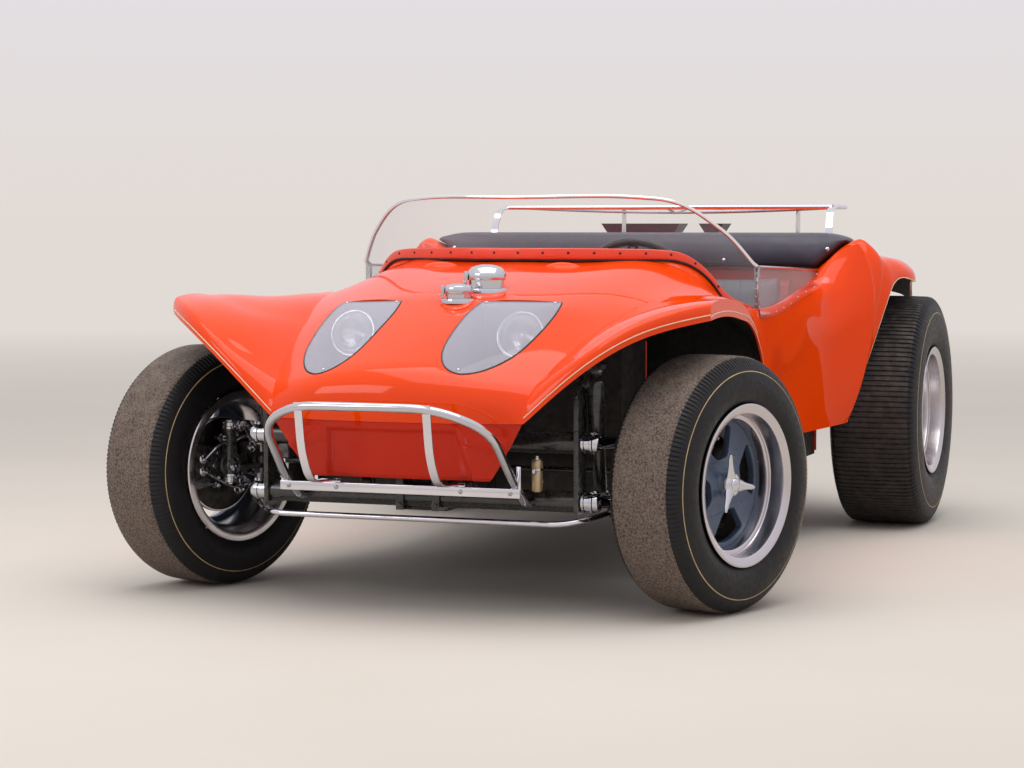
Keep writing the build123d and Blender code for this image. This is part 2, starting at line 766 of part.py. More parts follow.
for side, hand in ((1, "left"), (-1, "right")):
    with BuildPart() as front_tyre:
        add(to_front(tyre(*front_spec), side))
    export(front_tyre, f"front_tyre_{hand}")
    with BuildPart() as front_wheel:
        add(to_front(wheel(rim_front_half, spoke_reach_front, spindle_r + running_gap), side))
    export(front_wheel, f"front_wheel_{hand}")
    with BuildPart() as brake_disc:
        add(to_front(disc(disc_offset), side))
    export(brake_disc, f"brake_disc_{hand}")
    with BuildPart() as front_knuckle:
        add(to_front(knuckle(), side))
    export(front_knuckle, f"knuckle_{hand}")
    with BuildPart() as rear_tyre:
        add(to_rear(tyre(*rear_spec), side))
    export(rear_tyre, f"rear_tyre_{hand}")
    with BuildPart() as rear_wheel:
        add(to_rear(wheel(rim_rear_half, spoke_reach_rear, spindle_r + running_gap), side))
    export(rear_wheel, f"rear_wheel_{hand}")

# Trailing arms with their kingpins, one piece a side
arm_boss_r = 25.0
arm_neck_r = 15.0
arm_tongue_r = 8.8
with BuildPart() as arms_left:
    for level in (beam_low_z, beam_low_z + beam_gap_z):
        add(rod((beam_half + tower_wall + running_gap, beam_y, level),
                (arm_root_x + 30, beam_y, level), arm_boss_r))
        add(rod((arm_root_x + 14, beam_y, level), (arm_end_x, axle_front_y - 6, level), arm_r))
        add(rod((arm_end_x - 8, axle_front_y, level), (kingpin_x - 34, axle_front_y, level),
                arm_neck_r))
        add(rod((arm_end_x, axle_front_y, level), (kingpin_x - 14, axle_front_y, level),
                arm_tongue_r))
        with BuildSketch(Plane.XY.offset(level - lug_thick / 2)):
            with Locations((kingpin_x, axle_front_y)):
                Circle(lug_r)
        extrude(amount=lug_thick)
    add(rod((kingpin_x, axle_front_y, beam_low_z),
            (kingpin_x, axle_front_y, beam_low_z + beam_gap_z), pin_r))
with BuildPart() as front_arms:
    add(both(arms_left.part))
export(front_arms, "front_arms")

# Front beam: two tubes, end towers, middle clamps and the steering box
steering_box = ((175, beam_y + 15, 418), (245, beam_y + 95, 520))
with BuildPart() as front_beam:
    for level in (beam_low_z, beam_low_z + beam_gap_z):
        add(rod((-beam_half, beam_y, level), (beam_half, beam_y, level), beam_tube_r))
    tower = [(beam_y - 33, 262), (beam_y + 31, 262), (beam_y + 31, 560),
             (beam_y + 23, tower_top_z), (beam_y - 21, tower_top_z), (beam_y - 33, 560)]
    with BuildSketch(Plane.YZ.offset(beam_half - 0.2)):
        with BuildLine():
            Polyline(*tower, close=True)
        make_face()
    extrude(amount=tower_wall)
    add(block((beam_half, beam_y - 20, tower_top_z - tower_wall),
              (tower_x + 22, beam_y + 22, tower_top_z)))
    mirror(about=Plane.YZ)
    for x in (-60, 40):
        add(block((x, beam_y - 34, beam_low_z - 34),
                  (x + 20, beam_y + beam_tube_r - 0.1, beam_low_z + beam_gap_z + 34)))
    for x in (-250, 225):
        add(block((x, beam_y - 12, beam_low_z + beam_gap_z),
                  (x + 25, beam_y + 12, bowl_floor_z - running_gap)))
    add(block(*steering_box))
export(front_beam, "front_beam")

# Track rod across both steering arms
rod_y = -912.0
rod_r = 8.0
eye_r = 16.0
eye_half = 10.0
rod_z = steer_arm_z + steer_arm_thick + running_gap + eye_half


def arm_tip(side):
    """Plan position of a steering arm's end with the wheels as they stand at rest."""
    turn = radians(-steer_at_rest)
    out, back = -side * 15.0, steer_arm
    return (side * kingpin_x + out * cos(turn) - back * sin(turn),
            axle_front_y + out * sin(turn) + back * cos(turn))


with BuildPart() as track_rod:
    tips = [arm_tip(1)[0], arm_tip(-1)[0]]
    add(rod((tips[1], rod_y, rod_z), (tips[0], rod_y, rod_z), rod_r))
    for x in tips:
        add(rod((x, rod_y, rod_z - eye_half), (x, rod_y, rod_z + eye_half), eye_r))
export(track_rod, "track_rod")

# Front shock absorbers: body below, cover above
shock_r = 17.0
shock_cover_r = 22.0
shock_pin_r = 9.0
shock_eye_x = 489.3
shock_foot = Vector(459, -1150, beam_low_z + 10)
shock_head = Vector(461, -1212, tower_top_z - 14)
with BuildPart() as shocks:
    middle = shock_foot * 0.45 + shock_head * 0.55
    add(rod(tuple(shock_foot), (shock_eye_x, shock_foot.Y, beam_low_z), shock_pin_r))
    add(rod(tuple(shock_foot), tuple(middle), shock_r))
    add(rod(tuple(middle), tuple(shock_head), shock_cover_r))
    add(rod((shock_head.X, beam_y + 14, tower_top_z - 32),
            (shock_head.X, beam_y + 14, tower_top_z - tower_wall - running_gap), shock_pin_r))
with BuildPart() as front_shocks:
    add(both(shocks.part))
export(front_shocks, "front_shocks")

# Thin bar across under the beam, back to the lower arms
sway_r = 8.0
sway_bend = 35.0
sway_half = [(506, -1170, 264.6), (452, -1240, 246), (395, -1288, 237)]
with BuildPart() as sway_bar:
    add(tube([(-x, y, z) for x, y, z in sway_half] + sway_half[::-1], sway_bend, sway_r))
export(sway_bar, "sway_bar")

# Front bumper: tube hoop, two flat straps and a flat bar with a tab behind it at each of them
bumper_front_y = -1640.0
hoop_r = 12.0
hoop_bend = 22.0
hoop_y = bumper_front_y + hoop_r
hoop_foot_x = 311.0
bar_half = 328.0
bar_y = -1400.0
bar_low_z = 312.0
bar_top_z = 336.0
bar_thick = 6.0
strap_x = 170.0
strap_half = 11.0
strap_thick = 5.0
strap_bend = 20.0
tab_back_y = -1388.0
strap_side = [(hoop_y, 552), (-1606, 430), (-1560, 350), (-1391, 341)]
hoop_half = [(hoop_foot_x, beam_y - beam_tube_r - running_gap, beam_low_z), (hoop_foot_x, -1305, beam_low_z),
             (hoop_foot_x, bar_y, 356), (300, -1540, 488), (196, hoop_y, 548)]
with BuildPart() as bumper:
    add(tube([(-x, y, z) for x, y, z in hoop_half] + hoop_half[::-1], hoop_bend, hoop_r))
    add(block((-bar_half, bar_y, bar_low_z), (bar_half, bar_y + bar_thick, bar_top_z)))
    for x in (-hoop_foot_x, -strap_x, strap_x, hoop_foot_x):
        add(block((x - strap_half, bar_y + bar_thick - 0.2, bar_low_z + 6),
                  (x + strap_half, tab_back_y, bar_top_z + 7.5)))
    for x in (-strap_x, strap_x):
        with BuildSketch(Plane.YZ.offset(x - strap_half)):
            with BuildLine():
                FilletPolyline(*strap_side, radius=strap_bend)
                offset(amount=strap_thick / 2)
            make_face()
        extrude(amount=2 * strap_half)
export(bumper, "bumper")

# Filler caps on the hood: neck and hinged dome.  Each row is
# (name, x, y, z of the hood there, radius, neck height, dome height).
hinge_out = 6.0
hinge_up = 4.6
hinge_pin_r = 3.0
ear_x = 14.0
ear_half = 4.0
fillers = [("fuel", 64.0, -930.0, 819.0, 50.0, 34.0, 26.0),
           ("brake_fluid", 27.0, -1045.0, 794.0, 36.0, 24.0, 18.0)]
for title, x, y, z, radius, tall, dome in fillers:
    with BuildPart() as neck:
        add(rod((x, y, z - 22), (x, y, z + tall), radius - 6))
        add(fan_above(-running_gap, 1000), mode=Mode.INTERSECT)
        add(rod((x, y, z + tall - 6), (x, y, z + tall), radius))
        for s in (-1, 1):
            ear_in, ear_out = x + s * ear_x - ear_half, x + s * ear_x + ear_half
            add(block((ear_in, y + radius - 10, z + tall - 6), (ear_out, y + radius + 10, z + tall)))
            add(block((ear_in, y + radius + 2, z + tall - 1),
                      (ear_out, y + radius + 10, z + tall + hinge_up + ear_half)))
        add(rod((x - ear_x - ear_half, y + radius + hinge_out, z + tall + hinge_up),
                (x + ear_x + ear_half, y + radius + hinge_out, z + tall + hinge_up), hinge_pin_r))
    export(neck, f"{title}_neck")
    with BuildPart() as lid:
        with BuildSketch(Plane.XZ):
            with BuildLine():
                Line((0, 0.3), (radius - 2, 0.3))
                Line((radius - 2, 0.3), (radius, 6))
                ThreePointArc((radius, 6), (radius * 0.84, dome * 0.7), (radius * 0.45, dome))
                Line((radius * 0.45, dome), (0, dome))
                Line((0, dome), (0, 0.3))
            make_face()
        revolve(axis=Axis.Z)
        knuckle_half = ear_x - ear_half - running_gap
        hinge_at = radius + hinge_out
        add(block((-knuckle_half, radius - 8, 1.5), (knuckle_half, hinge_at, 6.5)))
        add(rod((-knuckle_half, hinge_at, hinge_up), (knuckle_half, hinge_at, hinge_up), 4.4))
        add(rod((-12, hinge_at, hinge_up), (12, hinge_at, hinge_up), hinge_pin_r + running_gap),
            mode=Mode.SUBTRACT)
        add(block((-8, -radius - 6, 2), (8, 2 - radius, 6)))
    lid.part = lid.part.moved(Location((x, y, z + tall)))
    export(lid, f"{title}_lid")

# Steering column and wheel
tilt = radians(column_tilt)
column_way = Vector(0, -cos(tilt), -sin(tilt))
hub = Vector(*wheel_centre)
column_r = 19.0
column_start = 45.0
column_end = hub + column_way * ((hub.Y - toe_y - wall - running_gap - column_r * sin(tilt)) / cos(tilt))
with BuildPart() as steering_column:
    add(rod(tuple(hub + column_way * column_start), tuple(column_end), column_r))
    dash_face_y = dash_y - dash_thick
    at_dash = hub + column_way * ((hub.Y - dash_face_y) / cos(tilt))
    add(block((hub.X - 18, dash_face_y - 7, at_dash.Z), (hub.X + 18, dash_face_y - running_gap, 740)))
export(steering_column, "steering_column")

wheel_plane = Plane(origin=tuple(hub), x_dir=(1, 0, 0), z_dir=tuple(column_way * -1))
with BuildPart() as steering_wheel:
    with BuildSketch(Plane.XZ):
        with Locations((wheel_ring_r, 0)):
            Circle(wheel_grip_r)
    revolve(axis=Axis.Z)
    with BuildSketch(Plane.XY.offset(-boss_deep)):
        Circle(boss_r)
    extrude(amount=boss_deep)
    with BuildSketch(Plane.XY.offset(-boss_deep)):
        Circle(boss_shaft_r)
    extrude(amount=boss_deep + 0.5 - column_start)
    with BuildSketch(Plane.XY.offset(-5)):
        with PolarLocations((wheel_ring_r - 8) / 2, 3, start_angle=90):
            Rectangle(wheel_ring_r - 8, boss_spoke)
    extrude(amount=4)
    steering_wheel.part = steering_wheel.part.moved(Location(wheel_plane))
export(steering_wheel, "steering_wheel")

# Seats
seat_half = 215.0
seat_side = [(70, 258.3), (580, 258.3), (632, 560), (690, 842), (622, 846), (548, 560), (512, 400),
             (80, 410)]
for side, hand in ((1, "left"), (-1, "right")):
    with BuildPart() as seat:
        with BuildSketch(Plane.YZ.offset(side * seat_x - seat_half)):
            with BuildLine():
                Polyline(*seat_side, close=True)
            make_face()
            fillet(vertices(), radius=22)
        extrude(amount=2 * seat_half)
    export(seat, f"seat_{hand}")

# Gear lever and hand brake on the tunnel
lever_y = 40.0
lever_knob = (0, 20, 648)
lever_r = 7.0
brake_y = 300.0
brake_r = 10.0
with BuildPart() as levers:
    add(rod((0, lever_y, tunnel_z), (0, lever_y, tunnel_z + 24), 34))
    add(rod((0, lever_y, tunnel_z + 20), (0, lever_knob[1], lever_knob[2] - 8), lever_r))
    with Locations(lever_knob):
        Sphere(24)
    add(block((-14, brake_y - 40, tunnel_z), (14, brake_y + 30, tunnel_z + 22)))
    add(rod((0, brake_y, tunnel_z + 10), (0, brake_y - 160, tunnel_z + 100), brake_r))
export(levers, "levers")

# Luggage rack on the deck
rack_half = 575.0
rack_front_y = 1000.0
rack_rear_y = 1262.0
rack_z = 1047.0
rack_foot_y = 886.0
rack_stay_y = rack_rear_y - 22
rack_post_r = 8.0


def deck_top(y):
    """Height of the deck's upper face over the centre line of its own panel."""
    for (y0, z0), (y1, z1) in zip(deck_run[2:], deck_run[3:]):
        if y0 <= y <= y1:
            return z0 + (z1 - z0) * (y - y0) / (y1 - y0) + wall / 2
    return deck_run[2][1]


rack_stay_z = deck_top(rack_stay_y) + 3.6
with BuildPart() as rack:
    for y in (rack_front_y, rack_rear_y):
        add(block((-rack_half, y - 5, rack_z - 10), (rack_half, y + 5, rack_z + 10)))
    for x in (-rack_half, rack_half):
        add(block((x - 5, rack_front_y, rack_z - 10), (x + 5, rack_rear_y, rack_z + 10)))
        out = 1 if x > 0 else -1
        add(tube([(x + out * 14, rack_foot_y, deck_top(rack_foot_y) + 2.6), (x + out * 9, 925, 1010),
                  (x, rack_front_y, rack_z)], 35, rack_post_r))
        add(rod((x, rack_stay_y, rack_stay_z), (x, rack_stay_y, rack_z), rack_post_r))
    add(rod((0, rack_stay_y, rack_stay_z), (0, rack_stay_y, rack_z - 14), rack_post_r))
    for i in range(6):
        y = rack_front_y + 24 + i * 43
        add(tube([(-rack_half, y, rack_z - 3), (-rack_half + 70, y, rack_z - 20),
                  (rack_half - 70, y, rack_z - 20), (rack_half, y, rack_z - 3)], 40, 4))
    add(block((-6, rack_front_y, rack_z - 28), (6, rack_rear_y, rack_z - 20)))
export(rack, "rack")

# Rear running gear
torsion_y = 800.0
torsion_z = 330.0
torsion_r = 42.0
case_r = 118.0
axle_tube_r = 32.0
brake_plate_r = 112.0
brake_plate_x = 630.0
drum_r = 126.0
drum_deep = 74.0
plate_x = 452.0
shock_y = axle_rear_y + 64
with BuildPart() as torsion_housing:
    add(rod((-plate_x + running_gap, torsion_y, torsion_z),
            (plate_x - running_gap, torsion_y, torsion_z), torsion_r))
    for x in (-250, 220):
        add(block((x, bulkhead_y + running_gap, ground_clearance + wall),
                  (x + 30, torsion_y - 20, torsion_z + 20)))
export(torsion_housing, "torsion_housing")

spring_outline = [(torsion_y - 45, torsion_z - 48), (torsion_y - 45, torsion_z + 48),
                  (shock_y + 22, tyre_rear_r + 40), (shock_y + 22, tyre_rear_r - 50)]
with BuildPart() as spring_plates:
    with BuildSketch(Plane.YZ.offset(plate_x)):
        with BuildLine():
            Polyline(*spring_outline, close=True)
        make_face()
        fillet(vertices(), radius=16)
        with Locations((axle_rear_y, tyre_rear_r)):
            Circle(axle_tube_r + running_gap, mode=Mode.SUBTRACT)
    extrude(amount=9)
    mirror(about=Plane.YZ)
export(spring_plates, "spring_plates")

with BuildPart() as transaxle:
    add(rod((0, axle_rear_y - 166, tyre_rear_r), (0, axle_rear_y + 134, tyre_rear_r), 88))
    add(rod((-92, axle_rear_y, tyre_rear_r), (92, axle_rear_y, tyre_rear_r), case_r))
    add(rod((0, axle_rear_y + 69, tyre_rear_r), (0, axle_rear_y + 144, tyre_rear_r), 150))
    add(block((-70, torsion_y + torsion_r + running_gap, tyre_rear_r - 70),
              (70, axle_rear_y - 146, tyre_rear_r + 30)))
export(transaxle, "transaxle")


def cross_rod(start_x, end_x, radius):
    """Round bar along the rear axle between two distances from the middle."""
    return rod((start_x, axle_rear_y, tyre_rear_r), (end_x, axle_rear_y, tyre_rear_r), radius)


with BuildPart() as axle_tubes:
    add(cross_rod(92 + running_gap, brake_plate_x, axle_tube_r))
    add(cross_rod(brake_plate_x, brake_plate_x + 18, brake_plate_r))
    add(cross_rod(brake_plate_x + 10, wheel_x_rear + spoke_reach_rear - 1, spindle_r))
    mirror(about=Plane.YZ)
export(axle_tubes, "axle_tubes")

drum_near = 654.0
for side, hand in ((1, "left"), (-1, "right")):
    with BuildPart() as brake_drum:
        add(ring_on((drum_near, 0, 0), (drum_near + drum_deep, 0, 0), drum_r,
                    spindle_r + running_gap))
        add(ring_on((drum_near + drum_deep, 0, 0),
                    (wheel_x_rear + spoke_reach_rear - hub_over, 0, 0), 60,
                    spindle_r + running_gap))
    drum = brake_drum.part if side > 0 else brake_drum.part.mirror(Plane.YZ)
    brake_drum.part = drum.moved(Location((0, axle_rear_y, tyre_rear_r)))
    export(brake_drum, f"brake_drum_{hand}")

# Rear shock absorbers: foot, joint and head of the left one, between its two pins
rear_foot = (520, shock_y, tyre_rear_r - 10)
rear_joint = (512, shock_y - 22, 560)
rear_head = (506, shock_y - 38, 690)
rear_pin_r = 11.0
with BuildPart() as rear_shock:
    add(rod(rear_foot, rear_joint, 20))
    add(rod(rear_joint, rear_head, 26))
    add(rod((plate_x + 9 + running_gap, shock_y, tyre_rear_r - 6), (rear_foot[0], shock_y, tyre_rear_r - 6),
            rear_pin_r))
    add(rod((rear_head[0], rear_head[1], rear_head[2] - 10),
            (deck_half - deck_gap - wall - running_gap, rear_head[1], rear_head[2] - 10), rear_pin_r))
with BuildPart() as rear_shocks:
    add(both(rear_shock.part))
export(rear_shocks, "rear_shocks")

# Rear engine: case, finned cylinder banks, upright fan shroud
engine_front_y = axle_rear_y + 144 + running_gap
engine_rear_y = 1500.0
engine_z = 400.0
case_half = [(95, 290), (130, 350), (130, 450), (80, 520)]
barrel_r = 42.0
barrel_half = 290.0
barrel_rows = [engine_front_y + 70 + i * 105 for i in range(3)]
fin_r = 51.0
fin_first_x = 150.0
fin_pitch = 24.0
fin_thick = 8.0
fin_count = 5
head_in_x = 270.0
head_out_x = 340.0
head_half_z = 58.0
with BuildPart() as engine_block:
    with BuildSketch(Plane.XZ.offset(-engine_front_y)):
        with BuildLine():
            Polyline(*case_half, *[(-x, z) for x, z in case_half[::-1]], close=True)
        make_face()
    extrude(amount=-(engine_rear_y - engine_front_y))
    add(rod((0, engine_rear_y, engine_z), (0, engine_rear_y + 30, engine_z), 80))
    for y in barrel_rows:
        add(rod((-barrel_half, y, engine_z), (barrel_half, y, engine_z), barrel_r))
        for j in range(fin_count):
            for s in (-1, 1):
                x = s * (fin_first_x + j * fin_pitch)
                add(rod((x, y, engine_z), (x + s * fin_thick, y, engine_z), fin_r))
    for s in (-1, 1):
        low_x, high_x = sorted((s * head_in_x, s * head_out_x))
        add(block((low_x, engine_front_y + 15, engine_z - head_half_z),
                  (high_x, engine_rear_y - 8, engine_z + head_half_z)))
export(engine_block, "engine_block")

fan_y = tail_y + 22
fan_z = 650.0
shroud_half = 240.0
shroud_low_z = 520 + running_gap
shroud_side_z = 620.0
shroud_top_z = 785.0
shroud_deep = 55.0
inlet_r = 118.0
inlet_deep = 46.0
inlet_bore = 108.0
inlet_floor_y = fan_y + 70
fan_hub_r = 46.0
blade_count = 9
with BuildPart() as fan_shroud:
    with BuildSketch(Plane.XZ.offset(-fan_y)):
        with BuildLine():
            Polyline((-shroud_half, shroud_side_z), (-shroud_half, shroud_low_z),
                     (shroud_half, shroud_low_z), (shroud_half, shroud_side_z))
            ThreePointArc((shroud_half, shroud_side_z), (0, shroud_top_z), (-shroud_half, shroud_side_z))
        make_face()
    extrude(amount=-shroud_deep)
    with BuildSketch(Plane.XZ.offset(-(fan_y + shroud_deep))):
        with Locations((0, fan_z)):
            Circle(inlet_r)
    extrude(amount=-inlet_deep)
    with BuildSketch(Plane.XZ.offset(-inlet_floor_y)):
        with Locations((0, fan_z)):
            Circle(inlet_bore)
            Circle(fan_hub_r, mode=Mode.SUBTRACT)
    extrude(amount=-40, mode=Mode.SUBTRACT)
    with BuildSketch(Plane.XZ.offset(-inlet_floor_y)):
        with Locations((0, fan_z)):
            with PolarLocations((fan_hub_r + inlet_bore) / 2, blade_count):
                Rectangle(inlet_bore - fan_hub_r + 4, 8)
    extrude(amount=-22)
export(fan_shroud, "fan_shroud")

# Air cleaners on their stacks.  Each row is (middle x, half width, stack x, stack foot).
cleaner_y = 1482.0
cleaner_low_z = 944.0
cleaner_top_z = 994.0
cleaner_rows = [(-224.0, 147.0, -292.0, engine_z + head_half_z + running_gap),
                (40.0, 45.0, 40.0, shroud_low_z)]
with BuildPart() as air_cleaners:
    for x, half, stack_x, stack_z in cleaner_rows:
        with BuildSketch(Plane.XY.offset(cleaner_low_z)):
            with Locations((x, cleaner_y)):
                Rectangle(2 * half - 60, 90)
        with BuildSketch(Plane.XY.offset(cleaner_top_z)):
            with Locations((x, cleaner_y)):
                Rectangle(2 * half, 120)
        loft()
        add(rod((stack_x, cleaner_y, stack_z), (stack_x, cleaner_y, cleaner_low_z + 2), 20))
export(air_cleaners, "air_cleaners")

# Exhaust: collectors, silencer and two tail pipes
silencer_y = 1566.0
silencer_z = engine_z - 74
silencer_r = 32.0
silencer_half = 250.0
collector_x = 305.0
collector_r = 15.0
stub_pipe_r = 11.0
tail_x = 120.0
tail_r = 20.0
tail_end_y = 1640.0
tail_bore = 17.0
with BuildPart() as exhaust:
    add(rod((-silencer_half, silencer_y, silencer_z), (silencer_half, silencer_y, silencer_z), silencer_r))
    for s in (-1, 1):
        add(tube([(s * collector_x, engine_front_y + 40, silencer_z),
                  (s * collector_x, silencer_y, silencer_z), (s * 240, silencer_y, silencer_z)],
                 45, collector_r))
        for y in barrel_rows:
            add(rod((s * collector_x, y, engine_z - head_half_z - running_gap),
                    (s * collector_x, y, silencer_z), stub_pipe_r))
        add(rod((s * tail_x, silencer_y, silencer_z), (s * tail_x, tail_end_y, silencer_z), tail_r))
        add(rod((s * tail_x, silencer_y + 34, silencer_z), (s * tail_x, tail_end_y, silencer_z), tail_bore),
            mode=Mode.SUBTRACT)
export(exhaust, "exhaust")

# Tail lamps on the tail panel
tail_lamp_x = 430.0
tail_lamp_z = 745.0
tail_lamp_r = 38.0
with BuildPart() as tail_lamps:
    for x in (-tail_lamp_x, tail_lamp_x):
        with BuildSketch(Plane.XZ.offset(-(tail_y + wall / 2 + running_gap))):
            with Locations((x, tail_lamp_z)):
                Circle(tail_lamp_r)
        extrude(amount=-28, taper=8)
export(tail_lamps, "tail_lamps")
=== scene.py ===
"""Looks of the open dune buggy: paint, rubber, metal, glass and trim round the fixed frame.

Lengths in the tables are in millimetres; the scene is in metres.  The front faces -Y,
the vehicle's left is +X and up is +Z.
"""
import json
from math import asin, atan2, cos, degrees, hypot, pi, radians, sin, sqrt, tan

import bmesh
import bpy
import numpy as np
from mathutils import Matrix, Vector


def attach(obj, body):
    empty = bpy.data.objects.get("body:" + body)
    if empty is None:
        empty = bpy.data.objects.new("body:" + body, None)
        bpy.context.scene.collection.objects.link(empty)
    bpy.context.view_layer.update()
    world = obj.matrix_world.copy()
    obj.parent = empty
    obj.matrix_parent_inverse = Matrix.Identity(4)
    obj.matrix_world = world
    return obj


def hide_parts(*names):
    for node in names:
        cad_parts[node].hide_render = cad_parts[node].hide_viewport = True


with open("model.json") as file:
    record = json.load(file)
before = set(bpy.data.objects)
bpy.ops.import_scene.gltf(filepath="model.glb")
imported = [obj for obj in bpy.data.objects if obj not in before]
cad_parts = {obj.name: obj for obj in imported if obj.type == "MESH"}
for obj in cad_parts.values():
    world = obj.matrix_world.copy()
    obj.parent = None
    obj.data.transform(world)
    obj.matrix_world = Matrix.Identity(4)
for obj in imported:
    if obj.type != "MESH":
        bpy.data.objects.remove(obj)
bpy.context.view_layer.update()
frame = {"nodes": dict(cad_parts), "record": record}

nodes = frame["nodes"]
MM = 0.001
both_sides = ((1, "left"), (-1, "right"))
UP, FRONT, REAR = (0, 0, 1), (0, -1, 0), (0, 1, 0)


# Shared effects

COLOUR, NUMBER, ARROW = "NodeSocketColor", "NodeSocketFloat", "NodeSocketVector"


def effect(name, inputs, outputs):
    """Empty node group with named inputs and outputs.

    Inputs are (name, kind, start value) and outputs are (name, kind).
    """
    group = bpy.data.node_groups.new(name, "ShaderNodeTree")
    for title, kind, value in inputs:
        socket = group.interface.new_socket(name=title, in_out="INPUT", socket_type=kind)
        socket.default_value = value
    for title, kind in outputs:
        group.interface.new_socket(name=title, in_out="OUTPUT", socket_type=kind)
    return group, group.nodes.new("NodeGroupInput"), group.nodes.new("NodeGroupOutput")


def noise(tree, scale, detail=4.0, roughness=0.55, where=None):
    """Noise texture in the object's own metres."""
    spots = tree.nodes.new("ShaderNodeTexNoise")
    spots.inputs["Detail"].default_value = detail
    spots.inputs["Roughness"].default_value = roughness
    if hasattr(scale, "links"):
        tree.links.new(scale, spots.inputs["Scale"])
    else:
        spots.inputs["Scale"].default_value = scale
    if where is None:
        where = tree.nodes.new("ShaderNodeTexCoord").outputs["Object"]
    tree.links.new(where, spots.inputs["Vector"])
    return spots.outputs["Fac"]


def span(tree, value, low, high, to_low=0.0, to_high=1.0):
    """Map a value's range onto another one, clamped."""
    node = tree.nodes.new("ShaderNodeMapRange")
    tree.links.new(value, node.inputs["Value"])
    for title, number in (("From Min", low), ("From Max", high), ("To Min", to_low),
                          ("To Max", to_high)):
        if hasattr(number, "links"):
            tree.links.new(number, node.inputs[title])
        else:
            node.inputs[title].default_value = number
    return node.outputs["Result"]


def sums(tree, how, a, b):
    """One step of arithmetic on two values."""
    node = tree.nodes.new("ShaderNodeMath")
    node.operation = how
    for socket, number in zip(node.inputs, (a, b)):
        if hasattr(number, "links"):
            tree.links.new(number, socket)
        else:
            socket.default_value = number
    return node.outputs[0]


def blended(tree, share, first, second):
    """Mix two colours by a share."""
    node = tree.nodes.new("ShaderNodeMix")
    node.data_type = "RGBA"
    for title, thing in (("Factor", share), ("A", first), ("B", second)):
        socket = [s for s in node.inputs if s.name == title and
                  (s.type == "RGBA" or title == "Factor" and s.type == "VALUE")][0]
        if hasattr(thing, "links"):
            tree.links.new(thing, socket)
        else:
            socket.default_value = thing
    return [s for s in node.outputs if s.type == "RGBA"][0]


def finished(group, result, **values):
    """The group, with values joined to its outputs."""
    for title, value in values.items():
        group.links.new(value, result.inputs[title])
    return group


def make_mottle():
    """Slow change of colour and gloss over a surface."""
    group, given, result = effect(
        "Mottle",
        [("Colour", COLOUR, (0.5, 0.5, 0.5, 1)), ("Second Colour", COLOUR, (0.4, 0.4, 0.4, 1)),
         ("Patch Scale", NUMBER, 6.0), ("Amount", NUMBER, 0.5),
         ("Low Roughness", NUMBER, 0.3), ("High Roughness", NUMBER, 0.5)],
        [("Colour", COLOUR), ("Roughness", NUMBER)])
    patches = noise(group, given.outputs["Patch Scale"], 5.0)
    share = sums(group, "MULTIPLY", span(group, patches, 0.35, 0.68), given.outputs["Amount"])
    colour = blended(group, share, given.outputs["Colour"], given.outputs["Second Colour"])
    fine = noise(group, sums(group, "MULTIPLY", given.outputs["Patch Scale"], 7.0), 3.0)
    gloss = span(group, fine, 0.3, 0.7, given.outputs["Low Roughness"],
                 given.outputs["High Roughness"])
    return finished(group, result, Colour=colour, Roughness=gloss)


def make_edge_wear():
    """Mask of rubbed corners, broken up by noise."""
    group, given, result = effect(
        "Edge Wear",
        [("Colour", COLOUR, (0.5, 0.5, 0.5, 1)), ("Worn Colour", COLOUR, (0.8, 0.8, 0.8, 1)),
         ("Amount", NUMBER, 0.5)],
        [("Colour", COLOUR), ("Mask", NUMBER)])
    shape = group.nodes.new("ShaderNodeNewGeometry")
    corner = span(group, shape.outputs["Pointiness"], 0.53, 0.62)
    rubbed = sums(group, "MULTIPLY", corner, span(group, noise(group, 60.0), 0.4, 0.6))
    mask = sums(group, "MULTIPLY", rubbed, given.outputs["Amount"])
    colour = blended(group, mask, given.outputs["Colour"], given.outputs["Worn Colour"])
    return finished(group, result, Colour=colour, Mask=mask)


def make_dust():
    """Pale road dust that gathers on faces that look up."""
    group, given, result = effect(
        "Road Dust",
        [("Colour", COLOUR, (0.5, 0.5, 0.5, 1)), ("Dust Colour", COLOUR, (0.42, 0.36, 0.28, 1)),
         ("Roughness", NUMBER, 0.5), ("Amount", NUMBER, 0.4)],
        [("Colour", COLOUR), ("Roughness", NUMBER), ("Mask", NUMBER)])
    shape = group.nodes.new("ShaderNodeNewGeometry")
    facing = group.nodes.new("ShaderNodeSeparateXYZ")
    group.links.new(shape.outputs["Normal"], facing.inputs[0])
    upward = span(group, facing.outputs["Z"], -0.3, 1.0, 0.25, 1.0)
    specks = span(group, noise(group, 30.0, 8.0, 0.7), 0.42, 0.7)
    mask = sums(group, "MULTIPLY", sums(group, "MULTIPLY", upward, specks),
                given.outputs["Amount"])
    colour = blended(group, mask, given.outputs["Colour"], given.outputs["Dust Colour"])
    rough = sums(group, "MAXIMUM", given.outputs["Roughness"],
                 sums(group, "MULTIPLY", mask, 0.95))
    return finished(group, result, Colour=colour, Roughness=rough, Mask=mask)


